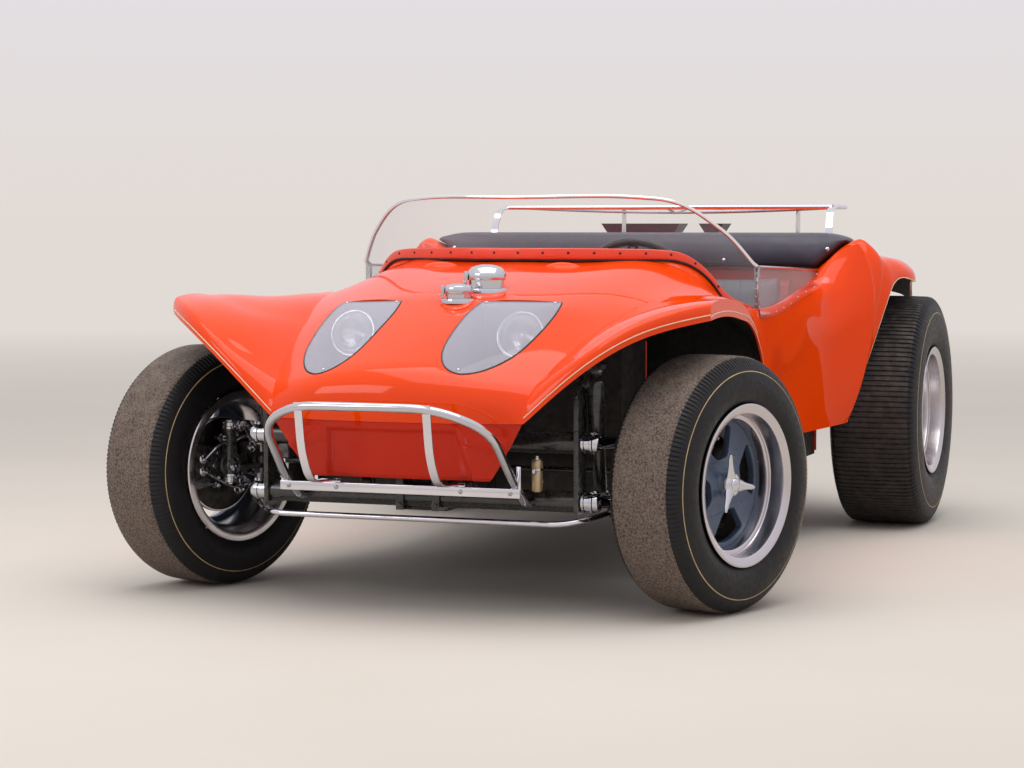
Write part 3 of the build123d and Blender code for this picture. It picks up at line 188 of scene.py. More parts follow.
def make_grain():
    """Fine relief: two sizes of noise as a normal."""
    group, given, result = effect(
        "Grain",
        [("Grain Scale", NUMBER, 400.0), ("Depth", NUMBER, 0.2), ("Stretch", ARROW, (1, 1, 1))],
        [("Normal", ARROW), ("Height", NUMBER)])
    place = group.nodes.new("ShaderNodeTexCoord")
    pulled = group.nodes.new("ShaderNodeVectorMath")
    pulled.operation = "MULTIPLY"
    group.links.new(place.outputs["Object"], pulled.inputs[0])
    group.links.new(given.outputs["Stretch"], pulled.inputs[1])
    fine = noise(group, given.outputs["Grain Scale"], 3.0, 0.6, pulled.outputs[0])
    wide = noise(group, sums(group, "MULTIPLY", given.outputs["Grain Scale"], 0.2), 2.0, 0.5,
                 pulled.outputs[0])
    height = sums(group, "ADD", fine, sums(group, "MULTIPLY", wide, 0.6))
    bump = group.nodes.new("ShaderNodeBump")
    bump.inputs["Distance"].default_value = 0.001
    group.links.new(given.outputs["Depth"], bump.inputs["Strength"])
    group.links.new(height, bump.inputs["Height"])
    return finished(group, result, Normal=bump.outputs["Normal"], Height=height)


mottle = make_mottle()
edge_wear = make_edge_wear()
road_dust = make_dust()
grain = make_grain()


def placed(tree, group, **values):
    """A shared effect placed in a material with its own values."""
    node = tree.nodes.new("ShaderNodeGroup")
    node.node_tree = group
    for title, value in values.items():
        socket = node.inputs[title.replace("_", " ")]
        if hasattr(value, "links"):
            tree.links.new(value, socket)
        else:
            socket.default_value = value
    return node.outputs


def finish_of(name, **plain):
    """New material with its Principled shader; plain values go on the shader's sockets."""
    material = bpy.data.materials.new(name)
    material.use_nodes = True
    tree = material.node_tree
    shader = tree.nodes["Principled BSDF"]
    for title, value in plain.items():
        shader.inputs[title.replace("_", " ")].default_value = value
    return material, tree, shader


def srgb(r, g, b):
    """Colour from 0-255 screen values, as the linear colour that a shader takes."""
    parts = []
    for c in (r, g, b):
        c = c / 255
        parts.append(c / 12.92 if c <= 0.04045 else ((c + 0.055) / 1.055) ** 2.4)
    return (*parts, 1.0)


def coated(name, colour, second, rough, amount, patch, dust, depth, scale=400.0, worn=None,
           wear=0.0, stretch=(1, 1, 1), **plain):
    """A finish from the shared effects: mottled colour, wear, dust and grain.

    Colours are 0-255 screen values and rough is the lowest and highest roughness.
    """
    material, tree, shader = finish_of(name, **plain)
    base = placed(tree, mottle, Colour=srgb(*colour), Second_Colour=srgb(*second),
                  Patch_Scale=patch, Amount=amount, Low_Roughness=rough[0],
                  High_Roughness=rough[1])
    colour_now = base["Colour"]
    if wear:
        colour_now = placed(tree, edge_wear, Colour=colour_now, Worn_Colour=srgb(*worn),
                            Amount=wear)["Colour"]
    dusted = placed(tree, road_dust, Colour=colour_now, Roughness=base["Roughness"],
                    Amount=dust)
    tree.links.new(dusted["Colour"], shader.inputs["Base Color"])
    tree.links.new(dusted["Roughness"], shader.inputs["Roughness"])
    if depth:
        relief = placed(tree, grain, Grain_Scale=scale, Depth=depth, Stretch=stretch)
        tree.links.new(relief["Normal"], shader.inputs["Normal"])
    return material


# Finishes

orange_paint = coated("orange gelcoat", (252, 74, 0), (246, 62, 0), (0.34, 0.46),
                      0.6, 2.0, dust=0.0, depth=0.012, scale=30.0, Coat_Weight=0.8,
                      Coat_Roughness=0.045, Coat_IOR=1.42, Specular_IOR_Level=0.0)
orange_inside = coated("orange gelcoat inside", (196, 50, 24), (170, 40, 20),
                       (0.4, 0.6), 0.6, 4.0, dust=0.15, depth=0.25, scale=140.0)
arch_black = coated("arch undercoat", (19, 18, 18), (28, 27, 26), (0.75, 0.92), 0.7, 8.0,
                    dust=0.12, depth=0.8, scale=200.0)
beam_black = coated("beam black enamel", (20, 20, 21), (32, 31, 30), (0.2, 0.38),
                    0.6, 9.0, dust=0.22, depth=0.08, scale=200.0, worn=(90, 88, 86),
                    wear=0.5, Coat_Weight=0.5, Coat_Roughness=0.15)
chrome_plate = coated("bright plating", (208, 208, 213), (184, 185, 191), (0.05, 0.13),
                      0.4, 6.0, dust=0.0, depth=0.012, scale=60.0, Metallic=1.0)
polished_rim = coated("polished rim metal", (206, 200, 202), (186, 181, 185),
                      (0.2, 0.28), 0.3, 3.0, dust=0.0, depth=0.02, scale=90.0, Metallic=1.0)
cast_metal = coated("cast light metal", (136, 136, 138), (112, 112, 115), (0.4, 0.6),
                    0.7, 18.0, dust=0.3, depth=0.5, scale=320.0, worn=(190, 190, 192),
                    wear=0.5, Metallic=0.85)
bright_steel = coated("bright steel", (168, 168, 170), (140, 140, 144), (0.2, 0.38),
                      0.5, 15.0, dust=0.2, depth=0.1, scale=260.0, Metallic=1.0)
spoke_blue = coated("blue grey spoke enamel", (84, 99, 122), (64, 77, 98), (0.26, 0.4),
                    0.5, 12.0, dust=0.03, depth=0.12, scale=260.0, worn=(170, 178, 190),
                    wear=0.4, Metallic=0.3)
tyre_rubber = coated("tyre rubber", (20, 18, 21), (29, 27, 29), (0.42, 0.6), 0.6,
                     10.0, dust=0.02, depth=0.3, scale=420.0, Specular_IOR_Level=0.3)
# Pale brown-grey front tread: wear and dust, made lighter as painted light for the light falling on
# the tread.
worn_and_lit_tread = coated("worn front tread with painted light", (132, 114, 102), (42, 36, 35), (0.75, 0.95), 1.0,
                    210.0, dust=0.3, depth=1.0, scale=330.0)
rear_tread = coated("rear tread", (38, 33, 33), (24, 21, 22), (0.6, 0.85), 0.8, 14.0,
                    dust=0.22, depth=0.6, scale=300.0, worn=(84, 74, 68), wear=0.6)
wall_line = coated("fine wall line", (206, 178, 128), (150, 124, 84), (0.5, 0.7), 0.6,
                   40.0, dust=0.15, depth=0.0)
black_vinyl = coated("black padded vinyl", (66, 62, 74), (82, 78, 92), (0.36, 0.5),
                     0.5, 6.0, dust=0.05, depth=0.5, scale=520.0)
grey_vinyl = coated("grey seat vinyl", (96, 98, 106), (84, 86, 94), (0.4, 0.55),
                    0.5, 6.0, dust=0.1, depth=0.5, scale=520.0)
black_rim_grip = coated("moulded grip", (26, 26, 27), (36, 36, 37), (0.32, 0.45),
                        0.5, 9.0, dust=0.1, depth=0.2, scale=300.0)
floor_coating = coated("dark floor coating", (44, 42, 42), (60, 57, 55), (0.6, 0.8),
                       0.7, 9.0, dust=0.35, depth=0.6, scale=260.0)
red_lamp = coated("red lamp lens", (150, 14, 12), (120, 8, 8), (0.1, 0.18), 0.4,
                  12.0, dust=0.06, depth=0.1, scale=90.0, Coat_Weight=0.8)
gasket_black = coated("black rubber seal", (22, 22, 23), (34, 34, 35), (0.5, 0.7), 0.5,
                      20.0, dust=0.15, depth=0.2, scale=500.0)
# Pale grey-mauve bowl colour: painted reflection, standing in for what is seen on and through the
# lamp cover.
bowl_painted_reflection = coated("lamp bowl with painted reflection", (176, 172, 184), (156, 152, 166), (0.35, 0.5),
                   0.6, 12.0, dust=0.1, depth=0.1, scale=300.0)
reflector = coated("lamp reflector", (236, 236, 240), (214, 214, 220), (0.06, 0.12),
                   0.4, 30.0, dust=0.0, depth=0.0, Metallic=1.0)
lens_glass = coated("fluted lens glass", (238, 240, 244), (226, 230, 236), (0.04, 0.1),
                    0.3, 20.0, dust=0.02, depth=0.35, scale=60.0, stretch=(6.0, 0.3, 0.3),
                    Transmission_Weight=0.7, IOR=1.48)
pin_line = coated("cream pin line", (238, 214, 178), (226, 198, 158), (0.3, 0.45), 0.5,
                  30.0, dust=0.05, depth=0.02, scale=300.0)
# Darker, less glossy copy of the orange gelcoat: painted shade for the chin under the nose.
orange_painted_shade = coated("orange gelcoat with painted shade under the nose", (206, 38, 0), (190, 31, 0), (0.4, 0.5),
                    0.6, 3.0, dust=0.0, depth=0.012, scale=30.0, Coat_Weight=0.35,
                    Coat_Roughness=0.08, Specular_IOR_Level=0.1)
strip_orange = coated("orange screen strip", (240, 66, 14), (226, 56, 8), (0.28, 0.4), 0.5,
                      6.0, dust=0.04, depth=0.04, scale=160.0, Coat_Weight=0.8,
                      Coat_Roughness=0.08)
dark_rivet = coated("dark rivet", (92, 40, 30), (60, 34, 30), (0.3, 0.5), 0.5, 60.0,
                    dust=0.1, depth=0.05, scale=300.0, Metallic=0.6)
stud_dark = coated("dark plated stud", (58, 46, 42), (80, 62, 54), (0.25, 0.4), 0.6, 30.0,
                   dust=0.1, depth=0.1, scale=300.0, Metallic=0.8)
canister_brass = coated("aged brass", (202, 178, 140), (176, 148, 110), (0.3, 0.45), 0.6,
                        20.0, dust=0.1, depth=0.1, scale=260.0, Metallic=0.7)
bright_plate = coated("polished bar plating", (222, 220, 226), (200, 199, 207), (0.05, 0.1),
                      0.4, 6.0, dust=0.0, depth=0.012, scale=60.0, Metallic=1.0)
rod_plate = coated("rack rod plating", (150, 152, 160), (122, 124, 132), (0.25, 0.35), 0.5,
                   9.0, dust=0.03, depth=0.02, scale=200.0, Metallic=0.45)
seat_shell_finish = coated("red seat shell", (176, 44, 24), (150, 36, 20), (0.3, 0.45), 0.6,
                           8.0, dust=0.05, depth=0.1, scale=200.0)
cleaner_grey = coated("air cleaner enamel", (70, 72, 84), (58, 60, 72), (0.35, 0.5), 0.6,
                      10.0, dust=0.1, depth=0.15, scale=260.0)
hub_iron = coated("brake iron", (64, 61, 61), (44, 42, 42), (0.3, 0.5), 0.7, 14.0,
                  dust=0.25, depth=0.2, scale=260.0, Metallic=0.9)
edging_plate = coated("bright screen edging", (238, 235, 236), (222, 219, 221),
                      (0.1, 0.16), 0.3, 3.0, dust=0.0, depth=0.02, scale=90.0, Metallic=1.0)


def make_clear(name, tint, rough, cover):
    """Clear sheet: mostly see-through, with a cover that rises at grazing angles."""
    material, tree, shader = finish_of(name, Base_Color=tint, Metallic=0.0, IOR=1.45)
    haze = noise(tree, 9.0, 5.0)
    tree.links.new(span(tree, haze, 0.3, 0.7, rough[0], rough[1]), shader.inputs["Roughness"])
    edge = tree.nodes.new("ShaderNodeLayerWeight")
    edge.inputs["Blend"].default_value = 0.35
    shown = span(tree, edge.outputs["Facing"], 0.0, 1.0, cover[0], cover[1])
    tree.links.new(shown, shader.inputs["Alpha"])
    return material


clear_screen = make_clear("clear screen sheet", srgb(214, 222, 228), (0.02, 0.04), (0.03, 0.4))
clear_cover = make_clear("clear lamp cover", srgb(206, 204, 214), (0.03, 0.06), (0.16, 0.6))

slot_finish = {"body_orange": orange_paint, "chassis_black": beam_black, "chrome": chrome_plate,
               "rim_polish": polished_rim, "cast_alloy": cast_metal, "steel": bright_steel,
               "tyre_rubber": tyre_rubber, "clear": clear_screen, "lamp_glass": clear_cover,
               "pad_vinyl": black_vinyl, "seat_vinyl": grey_vinyl, "grip": black_rim_grip,
               "floor_coat": floor_coating, "lamp_red": red_lamp}


node_finish = {"air_cleaners": cleaner_grey, "dashboard": orange_inside, "exhaust": hub_iron}
for side, hand in both_sides:
    node_finish.update({f"knuckle_{hand}": beam_black, f"brake_drum_{hand}": hub_iron,
                        f"brake_disc_{hand}": hub_iron})
for row in frame["record"]["subparts"]:
    node = row["node"]
    solid_looks = nodes[node].data.materials
    solid_looks.clear()
    solid_looks.append(node_finish.get(node, slot_finish[row["material_slot"]]))


# Mesh tools

def vec(x, y, z):
    """Point in metres from millimetres."""
    return Vector((x * MM, y * MM, z * MM))


def arc_points(start, middle, end, steps):
    """Points on the arc through three points of a plane, both ends included."""
    (ax, ay), (bx, by), (cx, cy) = start, middle, end
    cross = 2 * (ax * (by - cy) + bx * (cy - ay) + cx * (ay - by))
    if abs(cross) < 1e-6:
        return [(ax + (cx - ax) * i / steps, ay + (cy - ay) * i / steps) for i in range(steps + 1)]
    a2, b2, c2 = ax * ax + ay * ay, bx * bx + by * by, cx * cx + cy * cy
    mid_x = (a2 * (by - cy) + b2 * (cy - ay) + c2 * (ay - by)) / cross
    mid_y = (a2 * (cx - bx) + b2 * (ax - cx) + c2 * (bx - ax)) / cross
    radius = hypot(ax - mid_x, ay - mid_y)
    first, through, last = (atan2(p[1] - mid_y, p[0] - mid_x) for p in (start, middle, end))
    turn = (last - first) % (2 * pi)
    if (through - first) % (2 * pi) > turn:
        turn -= 2 * pi
    return [(mid_x + radius * cos(first + turn * i / steps),
             mid_y + radius * sin(first + turn * i / steps)) for i in range(steps + 1)]


def arcs_run(knots, steps):
    """Points along a run of arcs, each given by its start, middle and end knot."""
    run = [knots[0]]
    for i in range(0, len(knots) - 1, 2):
        run += arc_points(knots[i], knots[i + 1], knots[i + 2], steps)[1:]
    return run


def smooth_through(keys, values):
    """Natural cubic through values at keys; gives a function that reads it anywhere."""
    keys = np.array(keys, float)
    values = np.array(values, float)
    count, gaps = len(keys), np.diff(keys)
    rows = np.eye(count)
    right = np.zeros_like(values)
    for i in range(1, count - 1):
        rows[i, i - 1:i + 2] = gaps[i - 1], 2 * (gaps[i - 1] + gaps[i]), gaps[i]
        right[i] = 6 * ((values[i + 1] - values[i]) / gaps[i]
                        - (values[i] - values[i - 1]) / gaps[i - 1])
    bend = np.linalg.solve(rows, right.reshape(count, -1)).reshape(values.shape)

    def read(at):
        i = min(max(int(np.searchsorted(keys, at)) - 1, 0), count - 2)
        a = (keys[i + 1] - at) / gaps[i]
        b = 1 - a
        return (a * values[i] + b * values[i + 1]
                + ((a ** 3 - a) * bend[i] + (b ** 3 - b) * bend[i + 1]) * gaps[i] ** 2 / 6)
    return read


def even_run(points, count):
    """Points at even distances along a run, both ends included."""
    points = [np.array(p, float) for p in points]
    lengths = np.cumsum([0] + [np.linalg.norm(b - a) for a, b in zip(points, points[1:])])
    columns = np.array(points)
    places = np.linspace(0, lengths[-1], count)
    return [tuple(np.interp(s, lengths, columns[:, k]) for k in range(columns.shape[1]))
            for s in places]


def lay_grid(cloth, rows, flip=False, around=False):
    """Faces between rows of points in metres; returns the vertex rows."""
    verts = [[cloth.verts.new(p) for p in row] for row in rows]
    for low, high in zip(verts, verts[1:]):
        count = len(low)
        for i in range(count if around else count - 1):
            ring = [low[i], low[(i + 1) % count], high[(i + 1) % count], high[i]]
            ring = [v for k, v in enumerate(ring) if (v.co - ring[k - 1].co).length > 1e-7]
            if len(ring) > 2:
                cloth.faces.new(ring[::-1] if flip else ring)
    return verts


def smooth(mesh, corner):
    """Smooth shading with sharp edges past a corner angle; 0 leaves none sharp."""
    mesh.shade_smooth()
    if corner:
        mesh.set_sharp_from_angle(angle=radians(corner))


def piece(name, cloth, finishes, body="chassis", corner=40, stands_for=()):
    """Object from mesh work, with its finishes and the body that it rides on."""
    mesh = bpy.data.meshes.new(name)
    cloth.to_mesh(mesh)
    cloth.free()
    for material in finishes:
        mesh.materials.append(material)
    smooth(mesh, corner)
    thing = bpy.data.objects.new(name, mesh)
    bpy.context.scene.collection.objects.link(thing)
    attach(thing, body)
    if stands_for:
        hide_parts(*stands_for)
    return thing


def settled(thing, corner=40):
    """Apply a piece's modifiers to its mesh."""
    graph = bpy.context.evaluated_depsgraph_get()
    mesh = bpy.data.meshes.new_from_object(thing.evaluated_get(graph))
    thing.modifiers.clear()
    thing.data = mesh
    smooth(mesh, corner)


def thickened(thing, thickness, corner, offset=-1, inside=0):
    """Give a skin its thickness in millimetres; inside is the inner face's finish."""
    thick = thing.modifiers.new("thickness", "SOLIDIFY")
    thick.thickness = thickness * MM
    thick.offset = offset
    if inside:
        thick.material_offset = inside
        thick.material_offset_rim = 0
    settled(thing, corner)


def ring_about(place, side, over, radius, count):
    """Ring of points about a place, in the plane of two directions."""
    return [place + (side * cos(2 * pi * k / count) + over * sin(2 * pi * k / count)) * radius
            for k in range(count)]


def across_of(way):
    """Two directions at right angles to a unit one and to each other."""
    side = way.orthogonal().normalized()
    return side, way.cross(side)


def bent(before, here, after, reach, steps, share):
    """Points of a rounded corner that starts within a share of each leg's length."""
    start, end = (here + (p - here).normalized() * min(reach, (p - here).length * share)
                  for p in (before, after))
    return [start * (1 - k / steps) ** 2 + here * 2 * (k / steps) * (1 - k / steps)
            + end * (k / steps) ** 2 for k in range(steps + 1)]


def add_tube(cloth, points, radius, sides, closed=False, flat=1.0):
    """Round tube along points in metres; flat squeezes the section's second axis."""
    points = [Vector(p) for p in points]
    count = len(points)
    side = None
    rows = []
    for i, here in enumerate(points):
        before = points[i - 1] if closed or i else here
        after = points[(i + 1) % count] if closed or i < count - 1 else here
        way = (after - before).normalized()
        if side is None:
            side = way.orthogonal().normalized()
        side = (side - way * side.dot(way)).normalized()
        over = way.cross(side)
        size = radius[i] if isinstance(radius, (list, tuple)) else radius
        rows.append(ring_about(here, side, over * flat, size, sides))
    if closed:
        rows.append(rows[0])
    verts = lay_grid(cloth, rows, around=True)
    if not closed:
        cloth.faces.new(verts[0][::-1])
        cloth.faces.new(verts[-1])


def rounded(points, bend, steps=5):
    """A run of corners in millimetres turned into a smooth run in metres."""
    points = [Vector(p) for p in points]
    run = [points[0]]
    for before, here, after in zip(points, points[1:], points[2:]):
        reach = min(bend, (before - here).length * 0.45, (after - here).length * 0.45)
        run += bent(before, here, after, reach, steps, 1)
    run.append(points[-1])
    return [p * MM for p in run]


def add_dome(cloth, place, way, radius, height, sides):
    """Small domed head, such as a rivet, standing on a place; all in metres."""
    way = Vector(way).normalized()
    side, over = across_of(way)
    rows = [ring_about(Vector(place) + way * rise * height, side, over, radius * share, sides)
            for share, rise in ((1.0, -0.3), (1.0, 0), (0.86, 0.5), (0.5, 0.88))]
    verts = lay_grid(cloth, rows, around=True)
    top = cloth.verts.new(Vector(place) + way * height)
    ring = verts[-1]
    for k in range(sides):
        cloth.faces.new((ring[k], ring[(k + 1) % sides], top))


def add_box(cloth, low, high, place=None):
    """Box between two corners in metres, moved by a matrix."""
    corners = [Vector((x, y, z)) for z in (low[2], high[2]) for y in (low[1], high[1])
               for x in (low[0], high[0])]
    if place is not None:
        corners = [place @ c for c in corners]
    v = [cloth.verts.new(c) for c in corners]
    for ring in ((0, 2, 3, 1), (4, 5, 7, 6), (0, 1, 5, 4), (2, 6, 7, 3), (0, 4, 6, 2),
                 (1, 3, 7, 5)):
        cloth.faces.new([v[k] for k in ring])


def soften(thing, width, segments=2):
    """Rounded corners on a piece."""
    bevel = thing.modifiers.new("rounded corners", "BEVEL")
    bevel.width = width * MM
    bevel.segments = segments
    bevel.limit_method = "ANGLE"
    bevel.angle_limit = radians(35)
    bevel.harden_normals = False
    settled(thing)


def turned(cloth, place, way, profile, steps):
    """Surface of turning (along, radius) pairs about an axis, all in millimetres.

    Zero radii become single points, so the form closes there.
    """
    way = Vector(way).normalized()
    side, over = across_of(way)
    rings = []
    for along, radius in profile:
        points = ring_about(Vector(place) + way * along, side, over, radius,
                            steps if radius > 1e-6 else 1)
        rings.append([cloth.verts.new(p * MM) for p in points])
    for low, high in zip(rings, rings[1:]):
        for k in range(steps):
            ring = [low[k % len(low)], low[(k + 1) % len(low)], high[(k + 1) % len(high)],
                    high[k % len(high)]]
            ring = [v for j, v in enumerate(ring) if v is not ring[j - 1]]
            if len(ring) > 2:
                cloth.faces.new(ring)


def closed_out(cloth):
    """Turn every face of a closed form outward."""
    bmesh.ops.recalc_face_normals(cloth, faces=cloth.faces)
    return cloth


def add_slab(cloth, outline, low, high):
    """Flat slab from an outline: low and high give each point's two ends in metres."""
    first = [cloth.verts.new(low(*p)) for p in outline]
    second = [cloth.verts.new(high(*p)) for p in outline]
    cloth.faces.new(first[::-1])
    cloth.faces.new(second)
    for k in range(len(outline)):
        cloth.faces.new((first[k - 1], first[k], second[k], second[k - 1]))


def moved_in(run, depth):
    """Closed flat outline, anticlockwise, moved inward by depth."""
    result = []
    for k, here in enumerate(run):
        before, after = Vector(run[k - 1]), Vector(run[(k + 1) % len(run)])
        here = Vector(here)
        a, b = (here - before).normalized(), (after - here).normalized()
        out = Vector((-a.y, a.x)) + Vector((-b.y, b.x))
        out = out.normalized() / max(out.normalized().dot(Vector((-a.y, a.x))), 0.35)
        result.append(tuple(here + out * depth))
    return result


def hex_bolt(cloth, place, way, across, tall, washer=True):
    """Six-sided head on a washer, in millimetres."""
    if washer:
        turned(cloth, place, way, [(0, 0), (0, across * 0.92), (1.4, across * 0.92), (1.4, 0)], 20)
    turned(cloth, place, way, [(0, across * 0.57), (tall - 0.8, across * 0.57),
                               (tall, across * 0.48), (tall, 0)], 6)


# Body shell: the same sections as the frame's, laid as one smooth skin

fan_apex_y = -2993.0
crease_angle = 12.29
hood_slices = [
    (0.0, [(-1474, 500), (-1484, 574), (-1446, 633), (-1240, 724), (-1035, 800),
           (-770, 850), (-470, 888)]),
    (5.0, [(-1466, 500), (-1476, 568), (-1440, 624), (-1235, 717), (-1035, 793),
           (-770, 843), (-455, 886)]),
    (9.5, [(-1443, 500), (-1450, 552), (-1410, 604), (-1215, 694), (-1025, 768),
           (-765, 820), (-370, 866)]),
    (crease_angle, [(-1418, 500), (-1400, 556), (-1344, 600), (-1180, 676), (-995, 738),
                    (-770, 788), (-330, 762)]),
]
fender_ref_y = -1418.0
crease_x = tan(radians(crease_angle)) * (fender_ref_y - fan_apex_y)
fender_slices = [
    (crease_x, crease_angle, hood_slices[3][1]),
    (479.0, 8.2, [(-1394, 622), (-1394, 650), (-1368, 676), (-1275, 722), (-1130, 756),
                  (-860, 792), (-560, 784)]),
    (616.0, 4.1, [(-1318, 712), (-1320, 738), (-1296, 762), (-1200, 782), (-1090, 792),
                  (-850, 790), (-560, 700)]),
    (752.0, 0.0, [(-1165, 752), (-1167, 778), (-1140, 797), (-1060, 803), (-960, 798),
                  (-780, 758), (-590, 560)]),
]
fender_end_y = -620.0
side_end_y = 612.0
side_sections = [
    (-450.0, [(548, 780), (596, 786), (640, 765), (676, 710), (688, 620),
              (688, 470), (672, 345)]),
    (-150.0, [(596, 748), (608, 750), (620, 738), (622, 660), (612, 560),
              (602, 440), (612, 345)]),
    (200.0, [(596, 762), (609, 766), (622, 754), (624, 670), (614, 570),
             (604, 440), (614, 345)]),
    (450.0, [(596, 791), (616, 796), (636, 784), (656, 700), (656, 600),
             (648, 450), (642, 345)]),
    (560.0, [(600, 811), (626, 822), (666, 818), (712, 752), (724, 650),
             (706, 480), (680, 352)]),
    (side_end_y, [(606, 828), (690, 912), (750, 932), (790, 830), (794, 685),
                  (768, 510), (714, 360)]),
]
rear_sections = [
    (642.0, [(606, 842), (694, 925), (766, 920), (804, 850), (810, 760),
             (806, 670), (790, 606)]),
    (710.0, [(606, 926), (700, 928), (785, 894), (824, 864), (838, 834),
             (843, 815), (842, 800)]),
    (850.0, [(606, 908), (700, 900), (790, 884), (846, 866), (870, 842),
             (877, 824), (877, 808)]),
    (1016.0, [(606, 890), (690, 886), (770, 876), (822, 860), (842, 838),
              (847, 822), (846, 804)]),
    (1250.0, [(606, 836), (680, 836), (745, 826), (780, 808), (794, 786),
              (798, 768), (797, 750)]),
    (1400.0, [(606, 768), (670, 768), (720, 758), (752, 742), (766, 718),
              (770, 698), (769, 676)]),
]
lip_line = [(-590, 515), (-712, 702), (-845, 741), (-1000, 757), (-1165, 752)]
arc_steps = 10


both_halves = [(-a, k) for a, k in hood_slices[:0:-1]] + hood_slices
hood_reads = smooth_through(
    [a for a, k in both_halves],
    [[((y - fan_apex_y) / cos(radians(a)), z) for y, z in arcs_run(k, arc_steps)]
     for a, k in both_halves])


def hood_row(angle):
    """One slice of the hood in metres."""
    return [vec(d * sin(radians(angle)), fan_apex_y + d * cos(radians(angle)), z)
            for d, z in hood_reads(angle)]


def cut_at(run, end_y):
    """A run of (x, y, z) kept in front of a level plane's y, with its end on it."""
    kept = [run[0]]
    for a, b in zip(run, run[1:]):
        if b[1] >= end_y:
            t = (end_y - a[1]) / (b[1] - a[1])
            kept.append(tuple(a[k] + (b[k] - a[k]) * t for k in range(3)))
            return kept
        kept.append(b)
    return kept


def fender_rows(count):
    """Fender slices from the crease to the outer edge."""
    reads = smooth_through([s[0] for s in fender_slices],
                           [[(s[1], 0)] + arcs_run(s[2], arc_steps) for s in fender_slices])
    rows = []
    for i in range(count + 1):
        x_ref = crease_x + (fender_slices[-1][0] - crease_x) * i / count
        values = reads(x_ref)
        turn = radians(values[0][0])
        run = []
        for y, z in values[1:]:
            d = (y - fender_ref_y) / cos(turn)
            run.append((x_ref + d * sin(turn), fender_ref_y + d * cos(turn), z))
        head = run[:2 * arc_steps + 1]
        rows.append(head + even_run(cut_at(run[2 * arc_steps:], fender_end_y), arc_steps + 1)[1:])
    return rows


fender_left = fender_rows(30)
outer_row = fender_left[-1]
lip_run = [(outer_row[0][0], y, z) for y, z in arcs_run(lip_line, 16)][::-1]
lip_run = even_run(cut_at(lip_run, fender_end_y), len(outer_row))


def spread_like(run, model):
    """A run's points moved along it to the same shares of length as a model run's."""
    def shares(points):
        steps = [0.0] + [hypot(*(b[k] - a[k] for k in range(3)))
                         for a, b in zip(points, points[1:])]
        total = np.cumsum(steps)
        return total / total[-1]
    places, own = shares(model), shares(run)
    columns = np.array(run)
    return [tuple(np.interp(s, own, columns[:, k]) for k in range(3)) for s in places]


lip_run = spread_like(lip_run, outer_row)
fender_rim = [[tuple(a[k] + (b[k] - a[k]) * share for k in range(3))
               for a, b in zip(outer_row, lip_run)] for share in (0.0, 0.25, 0.5, 0.75, 1.0)]

# Where the fender ends, its cut outline is the first section of the cockpit side
join_outline = [row[-1] for row in fender_left] + [row[-1] for row in fender_rim[1:]]
side_count = 3 * arc_steps + 1
sill_foot = (728, 345)
side_steps, shoulder_steps, rear_steps = 40, 13, 13
shoulder_from, rear_bend_y, rear_end_y = 450, 710, 1400
side_row_count = side_steps + shoulder_steps
hood_edges_end_y = -330


def hood_edge_at(y):
    """The hood's outer edge at a station: (x, z)."""
    ys, zs = zip(*arcs_run(hood_slices[3][1], 16))
    xs = [tan(radians(crease_angle)) * (at - fan_apex_y) for at in ys]
    return float(np.interp(y, ys, xs)), float(np.interp(y, ys, zs))


def side_rows():
    """Cockpit side from the fender's end to the rear fender's start, then the rear fender."""
    blend_z = 6
    first = even_run([(x, z) for x, y, z in join_outline] + [(742, 480), sill_foot], side_count)
    keys = [fender_end_y] + [y for y, k in side_sections]
    values = [first] + [even_run(arcs_run(k, arc_steps), side_count) for y, k in side_sections]
    reads = smooth_through(keys, values)
    rows = []
    for y in (*np.linspace(fender_end_y, shoulder_from, side_steps),
              *np.linspace(shoulder_from, side_end_y, shoulder_steps + 1)[1:]):
        row = [tuple(p) for p in reads(y)]
        if y <= hood_edges_end_y:
            edge = hood_edge_at(y)
            share = [max(0.0, 1 - k / 6) for k in range(side_count)]
            shift = (edge[0] - row[0][0], edge[1] - row[0][1])
            row = [(p[0] + shift[0] * s, p[1] + shift[1] * s) for p, s in zip(row, share)]
        rows.append([vec(x, y, z) for x, z in row])
    keys = [side_end_y] + [y for y, k in rear_sections]
    values = [even_run(arcs_run(k, arc_steps), side_count)
              for y, k in [side_sections[-1]] + rear_sections]
    reads = smooth_through(keys, values)
    for y in (*np.linspace(side_end_y, rear_bend_y, rear_steps + 1)[1:],
              *np.linspace(rear_bend_y, rear_end_y, 32)[1:]):
        rows.append([vec(x, y, z) for x, z in reads(y)])
    for row in rows:
        for p in row:
            if 500 * MM < p.y < 850 * MM and p.x < 790 * MM:
                over = p.z / MM - shoulder_top(p.x / MM, p.y / MM)
                p.z -= blend_z * MM * float(np.logaddexp(0, over / blend_z))
    return rows


def shoulder_top(x, y):
    """Highest the shoulder may be where the padded roll's end lies over it, in millimetres."""
    top = float(np.interp(x, [600, 640, 665, 690, 724, 790], [842, 876, 900, 923, 948, 1040]))
    return top - max(0, 640 - y) * 0.35 + max(0, 560 - y) * 1.3 + max(0, y - 795) * 3


side_left_rows = side_rows()


def mirrored(rows):
    """Rows of points on the other side."""
    return [[Vector((-p[0], p[1], p[2])) for p in row] for row in rows]


def in_metres(rows):
    """Rows of points given in millimetres."""
    return [[vec(*p) for p in row] for row in rows]


# Lamp openings: long egg shapes seen from above, straight at the rear.  The first point is
# the rear outer corner; the rest run from the rear inner corner round the tip.
lamp_points = [(312, -982), (115, -1056), (105, -1120), (103, -1188), (105, -1254), (111, -1326),
               (126, -1382), (150, -1417), (178, -1430), (206, -1424), (234, -1400), (256, -1370),
               (278, -1328), (296, -1278), (309, -1214), (317, -1150), (321, -1086), (320, -1030),
               (312, -982)]
lamp_shift = -14
lamp_mid_x, lamp_mid_y = 205, -1215


